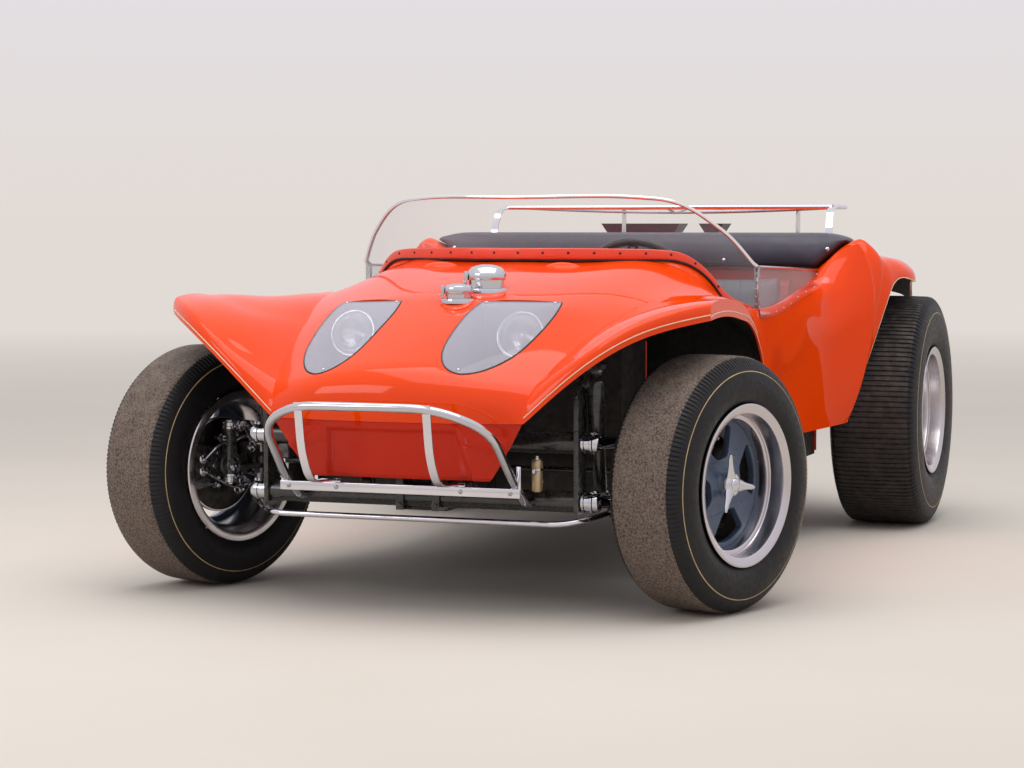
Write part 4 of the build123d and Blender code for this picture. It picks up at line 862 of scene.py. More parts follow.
def lamp_outline(side, inset=0.0):
    """Outline of one lamp opening in plan, in millimetres and anticlockwise."""
    reads = smooth_through(range(len(lamp_points) - 1), lamp_points[1:])
    run = [lamp_points[0]] + [tuple(reads(t))
                              for t in np.linspace(0, len(lamp_points) - 2, 44)[:-1]]
    if inset:
        run = moved_in(run, inset)
    return [(side * x + lamp_shift, y) for x, y in (run if side > 0 else run[::-1])]


def hood_height(x, y):
    """Height of the hood's skin over a point in plan, all in millimetres."""
    away = hypot(x, y - fan_apex_y)
    row = hood_reads(degrees(atan2(x, y - fan_apex_y)))
    first = min(range(len(row)), key=lambda i: row[i][0])
    top = row[first:]
    return float(np.interp(away, [p[0] for p in top], [p[1] for p in top]))


def within(point, run):
    """Whether a point in plan is inside a closed anticlockwise convex outline."""
    for a, b in zip(run, run[1:] + run[:1]):
        if (b[0] - a[0]) * (point[1] - a[1]) - (b[1] - a[1]) * (point[0] - a[0]) < 0:
            return False
    return True


def cut_through(cloth, outline):
    """Cut an upright outline through a skin; gives the faces inside it."""
    for a, b in zip(outline, outline[1:] + outline[:1]):
        start, way = vec(*a, 0), vec(b[0] - a[0], b[1] - a[1], 0)
        span_long = way.length
        near = []
        for face in cloth.faces:
            centre = face.calc_center_median()
            along = (centre - start).dot(way) / span_long
            off = abs((centre.x - start.x) * way.y - (centre.y - start.y) * way.x) / span_long
            if -0.02 < along < span_long + 0.02 and off < 0.03:
                near.append(face)
        parts = set(near) | {e for f in near for e in f.edges} | {v for f in near for v in f.verts}
        bmesh.ops.bisect_plane(cloth, geom=list(parts), plane_co=start, dist=1e-6,
                               plane_no=(way.y, -way.x, 0))
    return [f for f in cloth.faces
            if within([c / MM for c in f.calc_center_median().xy], outline)]


# Wrap-round screen: its circle and the heights of its edges, by distance from the middle

screen_r, screen_y = 749.0, 254.0
post_x, post_y = 612.0, -150.0
edge_table = {"trim": [(0, 1067), (150, 1069), (272, 1069), (358, 1064), (408, 1057), (441, 1045),
                       (481, 1021), (521, 987), (559, 948), (589, 905), (612, 869)],
              "strip_top": [(0, 925), (200, 925), (316, 923), (401, 919), (450, 906), (482, 882),
                            (514, 844), (545, 796), (575, 772), (609, 752)],
              "strip_low": [(0, 893), (200, 893), (372, 893), (442, 885), (490, 854), (522, 811),
                            (541, 777), (575, 761), (609, 748)]}


def edge_of(name):
    """Function that reads one edge's height at a distance from the middle."""
    rows = edge_table[name]
    reads = smooth_through([-x for x, z in rows[:0:-1]] + [x for x, z in rows],
                           [[z] for x, z in rows[:0:-1]] + [[z] for x, z in rows])
    return lambda x: float(reads(x)[0])


trim_at, strip_top_at, strip_low_at = (edge_of(n) for n in ("trim", "strip_top", "strip_low"))


shell = bmesh.new()
fan_angles = np.linspace(-crease_angle, crease_angle, 73)
lay_grid(shell, [hood_row(a) for a in fan_angles], flip=True)
for side in (1, -1):
    inside = cut_through(shell, lamp_outline(side))
    bmesh.ops.delete(shell, geom=inside, context="FACES")


def lay_outward(cloth, rows, out):
    """Grid and its mirror image, with the face at the middle of the grid turned to out."""
    middle = rows[len(rows) // 2]
    k = len(middle) // 2
    here = Vector(middle[k])
    normal = (Vector(middle[k + 1]) - here).cross(Vector(rows[len(rows) // 2 + 1][k]) - here)
    flip = normal.dot(Vector(out)) < 0
    lay_grid(cloth, rows, flip=flip)
    lay_grid(cloth, mirrored(rows), flip=not flip)


def cowl_row(angle):
    """Hood skin carried on from its rear edge to the foot of the screen."""
    turn = radians(angle)
    reach = screen_y - fan_apex_y
    away = reach * cos(turn) - sqrt(max((screen_r + 1) ** 2 - (reach * sin(turn)) ** 2, 0))
    x, y = away * sin(turn), fan_apex_y + away * cos(turn)
    start = hood_row(angle)[-1]
    end = vec(x, y, strip_low_at(x) - 2.5)
    return [start.lerp(end, k / 4) for k in range(5)]


lay_outward(shell, in_metres(fender_left), UP)
lay_outward(shell, in_metres(fender_rim), (1, 0, 0))
lay_outward(shell, side_left_rows[:side_row_count], (1, 0, 0))
lay_outward(shell, side_left_rows[side_row_count - 1:], (1, 0, 0.5))
lay_grid(shell, [cowl_row(a) for a in fan_angles], flip=True)
bmesh.ops.remove_doubles(shell, verts=shell.verts, dist=0.0008)
body_shell = piece("body_shell", shell, [orange_paint, orange_inside, arch_black],
                   corner=38,
                   stands_for=("hood", "front_fender_left", "front_fender_right", "side_left",
                               "side_right", "rear_fender_left", "rear_fender_right"))
thickened(body_shell, 5.5, 38, inside=1)
cockpit_front_y, cockpit_rear_y = -320, 600
for face in body_shell.data.polygons:
    in_cockpit = cockpit_front_y * MM < face.center.y < cockpit_rear_y * MM
    if face.material_index == 1 and not in_cockpit:
        face.material_index = 2


# Wheels and tyres: made about the X axis with the outer side towards +X, then placed

track_front, track_rear = 1445.0, 1567.0
axle_front_y, axle_rear_y = -1016.0, 1016.0
tyre_front_r, tyre_rear_r = 330.0, 377.4
kingpin_inset = 60.0
steer_at_rest = 18.0


def wheel_place(side, front):
    """Matrix that takes a left wheel piece from the origin to its axle; side -1 mirrors it."""
    flip = Matrix.Diagonal((side, 1, 1, 1))
    if not front:
        return Matrix.Translation(vec(side * track_rear / 2, axle_rear_y, tyre_rear_r)) @ flip
    stand = Matrix.Translation(vec(side * track_front / 2, axle_front_y, tyre_front_r)) @ flip
    pin = vec(side * (track_front / 2 - kingpin_inset), axle_front_y, 0)
    turn = Matrix.Rotation(radians(-steer_at_rest), 4, "Z")
    return Matrix.Translation(pin) @ turn @ Matrix.Translation(-pin) @ stand


def put(cloth, place):
    """Move mesh work by a matrix, turning its faces back out where the matrix mirrors."""
    bmesh.ops.transform(cloth, matrix=place, verts=cloth.verts)
    if place.determinant() < 0:
        bmesh.ops.reverse_faces(cloth, faces=cloth.faces)


def spun(cloth, profile, steps, closed=False):
    """Surface of turning a profile of (x, r) in millimetres about the X axis."""
    rows = []
    for i in range(steps):
        turn = 2 * pi * i / steps
        rows.append([vec(x, -r * sin(turn), r * cos(turn)) for x, r in profile])
    rows.append(rows[0])
    verts = [[cloth.verts.new(p) for p in row] for row in rows[:-1]]
    verts.append(verts[0])
    count = len(profile)
    faces = []
    for low, high in zip(verts, verts[1:]):
        for i in range(count if closed else count - 1):
            j = (i + 1) % count
            faces.append(cloth.faces.new((low[i], low[j], high[j], high[i])))
    return faces


# Each tyre's section from the inner bead to the middle of the tread; the outer half mirrors it
front_section = [(-101, 209), (-104, 214), (-109, 223), (-113, 235), (-115, 249), (-113.5, 268),
                 (-109, 287), (-103, 303), (-96, 314), (-88, 321.5), (-80, 326), (-72, 328.6),
                 (-50, 329.6), (-25, 330), (0, tyre_front_r)]
rear_section = [(-126, 209), (-130, 215), (-136, 228), (-142, 248), (-145, 270), (-144.5, 295),
                (-142, 320), (-138, 341), (-132, 357), (-125, 367.5), (-118, 373), (-108, 375.6),
                (-60, 377), (0, tyre_rear_r)]


def make_tyre(name, side, front, body, node):
    """Tyre with cut shoulders in front, or cross ribs behind, and a fine line on each wall."""
    section = front_section if front else rear_section
    profile = section + [(-x, r) for x, r in section[-2::-1]]
    radius = tyre_front_r if front else tyre_rear_r
    count = 168 if front else 140
    parts = 3 if front else 4
    tread_half = 78 if front else 119
    notch_from, notch_to, rib_to = 79, 104, 133
    cloth = bmesh.new()
    rows = []
    for i in range(count * parts):
        cut = i % parts == 0
        low = i % parts in (0, 1)
        row = []
        for x, r in profile:
            if front and cut and notch_from < abs(x) < notch_to:
                r -= 3.4 if abs(x) < 97 else 1.6
            if not front and low and abs(x) < rib_to:
                r -= 4.6 if abs(x) < 126 else 2.0
            row.append((x, r))
        share = (i - (0.62 if front and cut else 0)) / (count * parts)
        if not front:
            step = (0.0, 0.16, 0.26, 0.9)[i % parts]
            share = (i // parts + step) / count
        turn = 2 * pi * share
        rows.append([vec(x, -r * sin(turn), r * cos(turn)) for x, r in row])
    verts = [[cloth.verts.new(p) for p in row] for row in rows]
    verts.append(verts[0])
    for low, high in zip(verts, verts[1:]):
        for i in range(len(profile) - 1):
            face = cloth.faces.new((low[i], low[i + 1], high[i + 1], high[i]))
            middle = (profile[i][0] + profile[i + 1][0]) / 2
            face.material_index = 1 if abs(middle) < tread_half else 0
    line_r = 291.0 if front else 322.0
    for hand in (-1, 1):
        walls = [p for p in profile if p[0] * hand > 90]
        walls.sort(key=lambda p: p[1])
        line = []
        for r in (line_r - 1.2, line_r, line_r + 1.2):
            x = float(np.interp(r, [p[1] for p in walls], [abs(p[0]) for p in walls]))
            line.append((hand * (x + (0.9 if r == line_r else 0.2)), r))
        for face in spun(cloth, line if hand < 0 else line[::-1], 160):
            face.material_index = 2
    put(cloth, wheel_place(side, front))
    piece(name, cloth, [tyre_rubber, worn_and_lit_tread if front else rear_tread, wall_line],
          body, 30, (node,))


def make_rim(name, side, front, body):
    """Lip, stepped barrel and back of a wheel, then its web, hub and spinner."""
    half = 112.0 if front else 137.0
    web = 20.0 if front else 22.0
    cloth = bmesh.new()
    profile = [(half - 4, 209.5), (half - 1, 209), (half + 0.4, 206.5), (half, 203),
               (half - 4, 195), (half - 7, 187), (half - 9, 184.5), (half - 14, 183.5),
               (half - 46, 181), (half - 48, 179.5), (half - 49.5, 171), (half - 51, 169),
               (half - 54, 168), (web + 22, 166.5), (web - 6, 166), (web - 10, 166),
               (40 - half, 166), (24 - half, 172), (10 - half, 181), (3 - half, 185),
               (1 - half, 190), (0.2 - half, 199), (-half, 207), (3 - half, 209.5), (8 - half, 209),
               (12 - half, 200), (24 - half, 189.8), (40 - half, 180), (0, 173), (half - 48, 185),
               (half - 14, 190), (half - 8, 200)]
    spun(cloth, profile, 120, closed=True)
    put(cloth, wheel_place(side, front))
    piece(name + "_barrel", cloth, [polished_rim], body, 32, (body,))
    make_web(name, side, front, body, web)
    make_spinner(name, side, front, body, web)


def window_outline(turn):
    """Rounded window of the web, widening to the rim, as flat points about the axle."""
    corners = [Vector(p) for p in ((66, -26), (138, -76), (160, 0), (138, 76), (66, 26))]
    bends = [15, 20, 70, 20, 15]
    run = []
    for k, here in enumerate(corners):
        run += bent(corners[k - 1], here, corners[(k + 1) % len(corners)], bends[k], 6, 0.48)
    c, s = cos(turn), sin(turn)
    return [(p.x * c - p.y * s, p.x * s + p.y * c) for p in run]


def make_web(name, side, front, body, web):
    """Four broad spokes round four windows, sloping in from the hub to the barrel."""
    flat = bpy.data.curves.new(name + "_web", "CURVE")
    flat.dimensions = "2D"
    flat.fill_mode = "BOTH"
    flat.extrude = 0.0075
    flat.bevel_depth = 0.0022
    flat.bevel_resolution = 2
    web_r, steps = 164.5, 96
    outlines = [[(web_r * cos(2 * pi * k / steps), web_r * sin(2 * pi * k / steps))
                 for k in range(steps)]]
    outlines += [window_outline(radians(90 * k + 12)) for k in range(4)]
    for outline in outlines:
        line = flat.splines.new("POLY")
        line.points.add(len(outline) - 1)
        for point, (y, z) in zip(line.points, outline):
            point.co = (y * MM, z * MM, 0, 1)
        line.use_cyclic_u = True
    holder = bpy.data.objects.new(name + "_web_flat", flat)
    bpy.context.scene.collection.objects.link(holder)
    graph = bpy.context.evaluated_depsgraph_get()
    mesh = bpy.data.meshes.new_from_object(holder.evaluated_get(graph))
    bpy.data.objects.remove(holder)
    bpy.data.curves.remove(flat)
    cloth = bmesh.new()
    cloth.from_mesh(mesh)
    bpy.data.meshes.remove(mesh)
    for v in cloth.verts:
        y, z, x = v.co.x, v.co.y, v.co.z
        reach = min(max((hypot(y, z) / MM - 50) / 110, 0), 1)
        v.co = Vector((x + (web + 18 - 16 * reach) * MM, y, z))
    hub = [(web + 32, 0.5), (web + 32, 27), (web + 29, 33), (web + 20, 42), (web + 14, 52),
           (web + 10, 64), (web + 4, 66), (web - 12, 50), (web - 12, 18)]
    spun(cloth, hub, 64)
    put(cloth, wheel_place(side, front))
    piece(name + "_web", cloth, [spoke_blue], body, 34)


def make_spinner(name, side, front, body, web):
    """Three-eared knock-off with a plain domed centre, and the valve by the barrel."""
    cloth = bmesh.new()
    top = web + 56
    dome = [(top + 3, 0.4), (top + 2.5, 9), (top + 1, 15), (top - 1, 17), (top - 3, 17.6),
            (top - 3.5, 21), (top - 5, 27), (top - 9, 31), (top - 18, 33), (top - 30, 33)]
    spun(cloth, dome, 48)
    for k in range(3):
        turn = radians(111 + 120 * k)
        rows = []
        for along, wide, deep, rise in ((14, 21, 9, -12), (30, 17, 8.5, -10), (44, 12, 7, -7),
                                        (58, 9, 5.5, -4), (72, 7.6, 5, -1), (82, 5.6, 3.8, 1),
                                        (85, 2.4, 2.0, 1.5)):
            row = []
            for j in range(12):
                a = 2 * pi * j / 12
                across, out = wide * cos(a), deep * sin(a)
                row.append(vec(top + rise + out, along * cos(turn) - across * sin(turn),
                               along * sin(turn) + across * cos(turn)))
            rows.append(row)
        verts = lay_grid(cloth, rows, around=True)
        cloth.faces.new(verts[-1])
    put(closed_out(cloth), wheel_place(side, front))
    piece(name + "_spinner", closed_out(cloth), [chrome_plate], body, 40)
    valve = bmesh.new()
    at = radians(121)
    foot, tip = (vec(web + out, r * cos(at), r * sin(at)) for out, r in ((24, 158), (44, 146)))
    add_tube(valve, [foot, foot.lerp(tip, 0.6), tip], 0.0034, 10)
    add_tube(valve, [tip, tip + (tip - foot).normalized() * 0.007], 0.0046, 10)
    put(valve, wheel_place(side, front))
    piece(name + "_valve", valve, [bright_steel], body, 30)


for side, hand in both_sides:
    for front, row in ((True, "front"), (False, "rear")):
        wheel = f"{row}_wheel_{hand}"
        make_tyre(f"{row}_tread_{hand}", side, front, wheel, f"{row}_tyre_{hand}")
        make_rim(f"{row}_rim_{hand}", side, front, wheel)


# Lamp covers, bowls and lamps

def lamp_ring(side, inset, share, lift):
    """Ring of points over one lamp opening, in metres: share runs from its middle to its edge."""
    ring = []
    for x, y in lamp_outline(side, inset):
        px = side * lamp_mid_x + lamp_shift + (x - side * lamp_mid_x - lamp_shift) * share
        py = lamp_mid_y + (y - lamp_mid_y) * share
        ring.append(vec(px, py, hood_height(px, py) + lift))
    return ring


def make_lamp(side, hand):
    """Clear cover on a seal, three screws, the bowl below it and the round lamp in that."""
    cover = bmesh.new()
    rows = [lamp_ring(side, 2.4, share, 0.8 + 2.6 * (1 - share * share))
            for share in (1.0, 0.975, 0.93, 0.84, 0.7, 0.52, 0.32, 0.12)]
    verts = lay_grid(cover, rows, around=True)
    cover.faces.new(verts[-1])
    sheet = piece(f"lamp_cover_{hand}", closed_out(cover), [clear_cover], corner=60)
    thickened(sheet, 2.2, 50, 0)
    seal = bmesh.new()
    add_tube(seal, lamp_ring(side, 1.0, 1.0, -0.4), 0.0024, 8, closed=True)
    piece(f"lamp_seal_{hand}", seal, [gasket_black])
    screws = bmesh.new()
    for x, y in ((298, -1002), (128, -1063), (184, -1414)):
        x = side * x + lamp_shift
        turned(screws, (x, y, hood_height(x, y) + 1.8), (0, -0.38, 0.92),
               [(-3, 4.4), (0.4, 4.4), (1.8, 3.6), (2.5, 1.6), (2.5, 0)], 12)
    piece(f"lamp_screws_{hand}", closed_out(screws), [chrome_plate])
    # The bowl's pale grey-mauve is painted reflection.
    bowl = bmesh.new()
    wall_foot, bowl_floor = 0.552, 0.549
    rows = [lamp_ring(side, 3.0, 1.0, -2.0), lamp_ring(side, 4.0, 1.0, -9.0)]
    for inset, drop in ((6.0, 0.35), (9.0, 0.75), (14.0, 1.0)):
        rows.append([Vector((p.x, p.y, q.z + (wall_foot - q.z) * drop)) for p, q in
                     zip(lamp_ring(side, inset, 1.0, -9.0), rows[1])])
    for share in (0.8, 0.45, 0.1):
        rows.append([Vector((p.x, p.y, bowl_floor)) for p in lamp_ring(side, 14.0, share, 0.0)])
    verts = lay_grid(bowl, rows, around=True, flip=side < 0)
    bowl.faces.new(verts[-1])
    piece(f"lamp_bowl_{hand}", bowl, [bowl_painted_reflection],
          stands_for=("headlamps",) if side > 0 else ())
    place, way = (side * 238 + lamp_shift, -1098, 702), (side * 0.05, -1, 0.36)
    ring = bmesh.new()
    turned(ring, place, way, [(-40, 30), (-22, 52), (-8, 62), (0, 66), (4, 66.6), (7.5, 65),
                              (8.5, 61.5), (7, 58), (3, 57)], 56)
    piece(f"lamp_rim_{hand}", closed_out(ring), [chrome_plate])
    back = bmesh.new()
    turned(back, place, way, [(5, 58), (-8, 50), (-22, 36), (-30, 18), (-32, 0)], 48)
    turned(back, place, way, [(-30, 0), (-30, 7), (-14, 8), (-8, 6), (-6, 0)], 20)
    piece(f"lamp_reflector_{hand}", back, [reflector])
    lens = bmesh.new()
    turned(lens, place, way, [(5, 58.5), (9, 54), (14, 42), (17.5, 26), (19, 11), (19.4, 0)], 56)
    piece(f"lamp_lens_{hand}", lens, [lens_glass])


for side, hand in both_sides:
    make_lamp(side, hand)
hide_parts("lamp_covers")


# Fine cream lines near the front lips and along the rear arches

def along_row(row, reach):
    """Point at a distance in millimetres from the start of a row."""
    left = reach
    for a, b in zip(row, row[1:]):
        step = hypot(*(b[k] - a[k] for k in range(3)))
        if step >= left:
            return tuple(a[k] + (b[k] - a[k]) * left / step for k in range(3))
        left -= step
    return row[-1]


line_from_lip = 15.0
line_path = [along_row(row, line_from_lip) for row in fender_left]
for top, low in list(zip(outer_row, lip_run))[1:]:
    deep = hypot(*(top[k] - low[k] for k in range(3)))
    if deep > line_from_lip + 1:
        share = line_from_lip / deep
        line_path.append(tuple(low[k] + (top[k] - low[k]) * share + (0.6, 0, 0)[k]
                               for k in range(3)))
arch_path = [row[-1] for row in side_left_rows[side_row_count - 1:]]
lines = bmesh.new()
for side in (1, -1):
    add_tube(lines, [vec(side * x, y - 0.4, z + 0.2) for x, y, z in line_path], 0.0015, 6)
    add_tube(lines, [Vector((side * (p.x + 0.0004), p.y, p.z + 0.002)) for p in arch_path],
             0.0017, 6)
piece("pin_lines", lines, [pin_line])


# Chin: rolled under the nose, with a shallow four-sided recess and a rounded rib each side

recess_top, recess_low, recess_half, recess_depth = 484, 340, 176, 16.0
rib_depth, rib_half = 7.0, 26.0


def chin_point(across, down):
    """Point of the chin; across runs -1 to 1 and down runs 0 to 1.

    Each level gives its share down, height, y in the middle, y at the side and half width.
    """
    levels = [(0.0, 499.0, -1471.5, -1413.0, 338.0), (0.08, 490.0, -1469.0, -1413.0, 334.0),
              (0.5, 424.0, -1441.0, -1401.0, 296.0), (0.93, 358.0, -1408.0, -1388.0, 251.0),
              (1.0, 350.0, -1398.0, -1380.0, 240.0)]
    shares = [row[0] for row in levels]
    z, mid_y, side_y, half = (float(np.interp(down, shares, [row[k] for row in levels]))
                              for k in (1, 2, 3, 4))
    x = half * across
    y = side_y + (mid_y - side_y) * (1 - across * across)
    edge = recess_half + (recess_top - z) * 0.2
    inside = min(edge - abs(x), recess_top - z, z - recess_low)
    sunk = min(max(inside / 13.0, 0.0), 1.0)
    y += recess_depth * sunk * sunk * (3 - 2 * sunk)
    rib_z = 470 - (abs(x) - 180) * 0.28
    if recess_half < abs(x) < 300:
        rib = max(0.0, 1 - ((z - rib_z) / rib_half) ** 2)
        y -= rib_depth * rib * min(1.0, (abs(x) - recess_half) / 20)
    return vec(x, y, z)


chin_skin = bmesh.new()
lay_grid(chin_skin, [[chin_point(a, d) for a in np.linspace(-1, 1, 97)]
                     for d in np.linspace(0, 1, 49)], flip=True)
# The chin's outer face takes the darker orange, which is painted shade under the nose.
chin_panel = piece("chin_panel", chin_skin, [orange_painted_shade, orange_inside], corner=50,
                   stands_for=("chin",))
thickened(chin_panel, 5, 50, inside=1)


# Two shallow blisters on the hood below the screen

blisters = bmesh.new()
for x0, y0 in ((155.0, -560.0), (-215.0, -560.0)):
    rings = []
    for share, rise in ((1.0, -1.0), (0.94, 1.6), (0.8, 5.0), (0.6, 8.2), (0.35, 10.4),
                        (0.12, 11.2)):
        ring = []
        for k in range(40):
            a = 2 * pi * k / 40
            x, y = x0 + 52 * share * cos(a), y0 + 30 * share * sin(a)
            ring.append(vec(x, y, hood_height(x, y) + rise))
        rings.append(ring)
    verts = lay_grid(blisters, rings, around=True)
    blisters.faces.new(verts[-1])
piece("hood_blisters", closed_out(blisters), [orange_paint], corner=60)


# Wrap-round screen, its bright edging, the orange strip at its foot, side posts and panes

def on_screen(x, z, out=0.0):
    """Point of the screen's sheet, in metres, standing out from it by out."""
    turn = asin(max(-1, min(1, x / screen_r)))
    size = screen_r + out
    return vec(size * sin(turn), screen_y - size * cos(turn), z)


def screen_places(half, count):
    """Distances from the middle that are even round the screen's arc."""
    end = asin(half / screen_r)
    return [screen_r * sin(end * (2 * i / (count - 1) - 1)) for i in range(count)]


def make_screen():
    """Clear sheet, then the strip, seal, rivets and edging."""
    strip_out, seam_x, rivet_gap, post_top = 8.3, -508, 73.0, 869
    sheet = bmesh.new()
    rows = []
    for x in screen_places(post_x, 97):
        low = strip_low_at(x) + 6
        top = max(trim_at(x), low + 2)
        rows.append([on_screen(x, low + (top - low) * k / 12) for k in range(13)])
    lay_grid(sheet, rows)
    screen = piece("screen_sheet", sheet, [clear_screen], corner=60,
                   stands_for=("windshield",))
    thickened(screen, 4, 60)

    strip = bmesh.new()
    rows = []
    for x in screen_places(603, 121):
        low, top = strip_low_at(x), strip_top_at(x)
        row = []
        for share, out in ((0, 2.4), (0, 6.0), (0.05, 7.6), (0.14, strip_out), (0.86, strip_out),
                           (0.95, 7.6), (1, 6.0), (1, 2.4)):
            row.append(on_screen(x, low + (top - low) * share, out))
        rows.append(row)
    lay_grid(strip, rows, around=True)
    bmesh.ops.contextual_create(strip, geom=[e for e in strip.edges if e.is_boundary])
    piece("screen_strip", closed_out(strip), [strip_orange], corner=50,
          stands_for=("windshield_strip",))

    seam = bmesh.new()
    add_tube(seam, [on_screen(seam_x, read(seam_x), strip_out)
                    for read in (strip_low_at, strip_top_at)], 0.0009, 6)
    piece("strip_seam", seam, [gasket_black])

    seal = bmesh.new()
    add_tube(seal, [on_screen(x, strip_low_at(x) - 1.5, 4.5) for x in screen_places(604, 110)],
             0.0042, 8)
    piece("screen_seal", seal, [gasket_black])

    rivets = bmesh.new()
    count = 17
    for i in range(count):
        turn = (i - count // 2) * rivet_gap / screen_r
        x = screen_r * sin(turn)
        at = on_screen(x, (strip_low_at(x) * 0.42 + strip_top_at(x) * 0.58), 8.0)
        add_dome(rivets, at, (sin(turn), -cos(turn), 0), 0.0042, 0.0022, 12)
    piece("strip_rivets", rivets, [dark_rivet])

    trim = bmesh.new()
    run = [on_screen(x, trim_at(x) + 3, 0) for x in screen_places(post_x, 150)]
    run = [vec(-post_x, post_y, post_top)] + run[1:-1] + [vec(post_x, post_y, post_top)]
    add_tube(trim, run, 0.0074, 12, flat=0.8)
    piece("screen_edging", trim, [edging_plate], stands_for=("windshield_trim",))


make_screen()


# The cockpit rail's outer edge: each side row from its highest inner point outward.  Fewer
# points are looked at near the rail's end, where the row climbs over the shoulder.
rail_end_y = 636
rail_rows = []
for row in side_left_rows[:side_row_count]:
    y = row[0].y / MM
    if post_y - 8 <= y <= rail_end_y:
        looked_at = max(1, min(9, int((rail_end_y - 40 - y) / 9)))
        rail_rows.append(row[max(range(looked_at), key=lambda i: row[i].z):])


def make_quarter(side, hand):
    """Aluminium post, clear pane with bright edging, riveted orange band along the rail."""
    post = bmesh.new()
    for low, high in (((606, -161, 742), (609, -143, 873)), ((609, -161, 742), (619, -158, 873)),
                      ((609, -146, 742), (619, -143, 873)), ((616, -161, 742), (619, -143, 873))):
        add_box(post, vec(side * low[0], *low[1:]), vec(side * high[0], *high[1:]))
    bmesh.ops.remove_doubles(post, verts=post.verts, dist=0.00001)
    closed_out(post)
    side_post = piece(f"screen_post_{hand}", post, [bright_steel])
    soften(side_post, 0.8)
    heads = bmesh.new()
    for k in range(6):
        z = 752 + k * 22
        add_dome(heads, vec(side * 619, -152, z), (side, 0, 0), 0.0032, 0.002, 10)
        add_dome(heads, vec(side * 612, -161, z + 8), FRONT, 0.003, 0.0018, 10)
    pane = bmesh.new()
    rows = []
    for y in np.linspace(post_y + 6, 634, 44):
        low = float(np.interp(y, [-144, 68, 226, 389, 525, 612, 634],
                              [744, 752, 765, 785, 804, 824, 843]))
        top = 868 + (847 - 868) * (y + 144) / 704
        rows.append([vec(side * 610.5, y, low + (max(top, low + 1) - low) * k / 5)
                     for k in range(6)])
    lay_grid(pane, rows, flip=side < 0)
    sheet = piece(f"quarter_pane_{hand}", pane, [clear_screen], corner=60,
                  stands_for=(f"side_window_{hand}",))
    thickened(sheet, 3.5, 60, 0)
    edging = bmesh.new()
    add_tube(edging, rounded([(side * 612, -143, 869), (side * 610.5, 628, 846),
                              (side * 610.5, 636, 836)], 8), 0.0044, 10)
    piece(f"quarter_edging_{hand}", edging, [polished_rim])
    band = bmesh.new()
    rows = []
    for row in rail_rows:
        run = [along_row(row, reach) for reach in (0.001, 0.004, 0.012, 0.022, 0.031, 0.034)]
        rows.append([Vector((side * (p[0] + out), p[1], p[2] + lift)) for p, out, lift in
                     zip(run, (0.0005, 0.0022, 0.0028, 0.0028, 0.0022, -0.0008),
                         (0.0024, 0.0022, 0.0012, 0.0004, 0, 0))])
    lay_grid(band, rows, flip=side > 0)
    piece(f"rail_band_{hand}", band, [strip_orange], corner=50)
    ys = [row[0].y / MM for row in rail_rows]
    for y in [-134, -112] + [-60 + 92 * k for k in range(8)]:
        row = rail_rows[int(np.argmin([abs(v - y) for v in ys]))]
        at = along_row(row, 0.021)
        add_dome(heads, Vector((side * (at[0] + 0.0026), y * MM, at[2] + 0.0006)), (side, 0, 0.35),
                 0.0042, 0.0024, 10)
    piece(f"rail_rivets_{hand}", heads, [bright_steel])


for side, hand in both_sides:
    make_quarter(side, hand)


# Padded covers

cloth_frames = 20


def puffed(thing, voxel, cap, pressure):
    """Swell a closed form like a stuffed cover, with a cap on how far each point moves."""
    grid = thing.modifiers.new("even weave", "REMESH")
    grid.mode = "VOXEL"
    grid.voxel_size = voxel * MM
    settled(thing, 0)
    start = [v.co.copy() for v in thing.data.vertices]
    cover = thing.modifiers.new("cover", "CLOTH")
    cover.settings.use_pressure = True
    cover.settings.uniform_pressure_force = pressure
    cover.settings.effector_weights.gravity = 0.0
    cover.settings.quality = 4
    cover.point_cache.frame_start = 1
    cover.point_cache.frame_end = cloth_frames
    for step in range(1, cloth_frames + 1):
        bpy.context.scene.frame_set(step)
    settled(thing, 0)
    for v, was in zip(thing.data.vertices, start):
        move = v.co - was
        if move.length > cap * MM:
            v.co = was + move.normalized() * cap * MM
    bpy.context.scene.frame_set(1)


def smoothed_once(thing, rounds):
    """Relax a mesh, then divide it once."""
    relax = thing.modifiers.new("relax", "SMOOTH")
    relax.iterations = rounds
    relax.factor = 0.5
    divide = thing.modifiers.new("divide", "SUBSURF")
    divide.levels = divide.render_levels = 1
    settled(thing, 0)


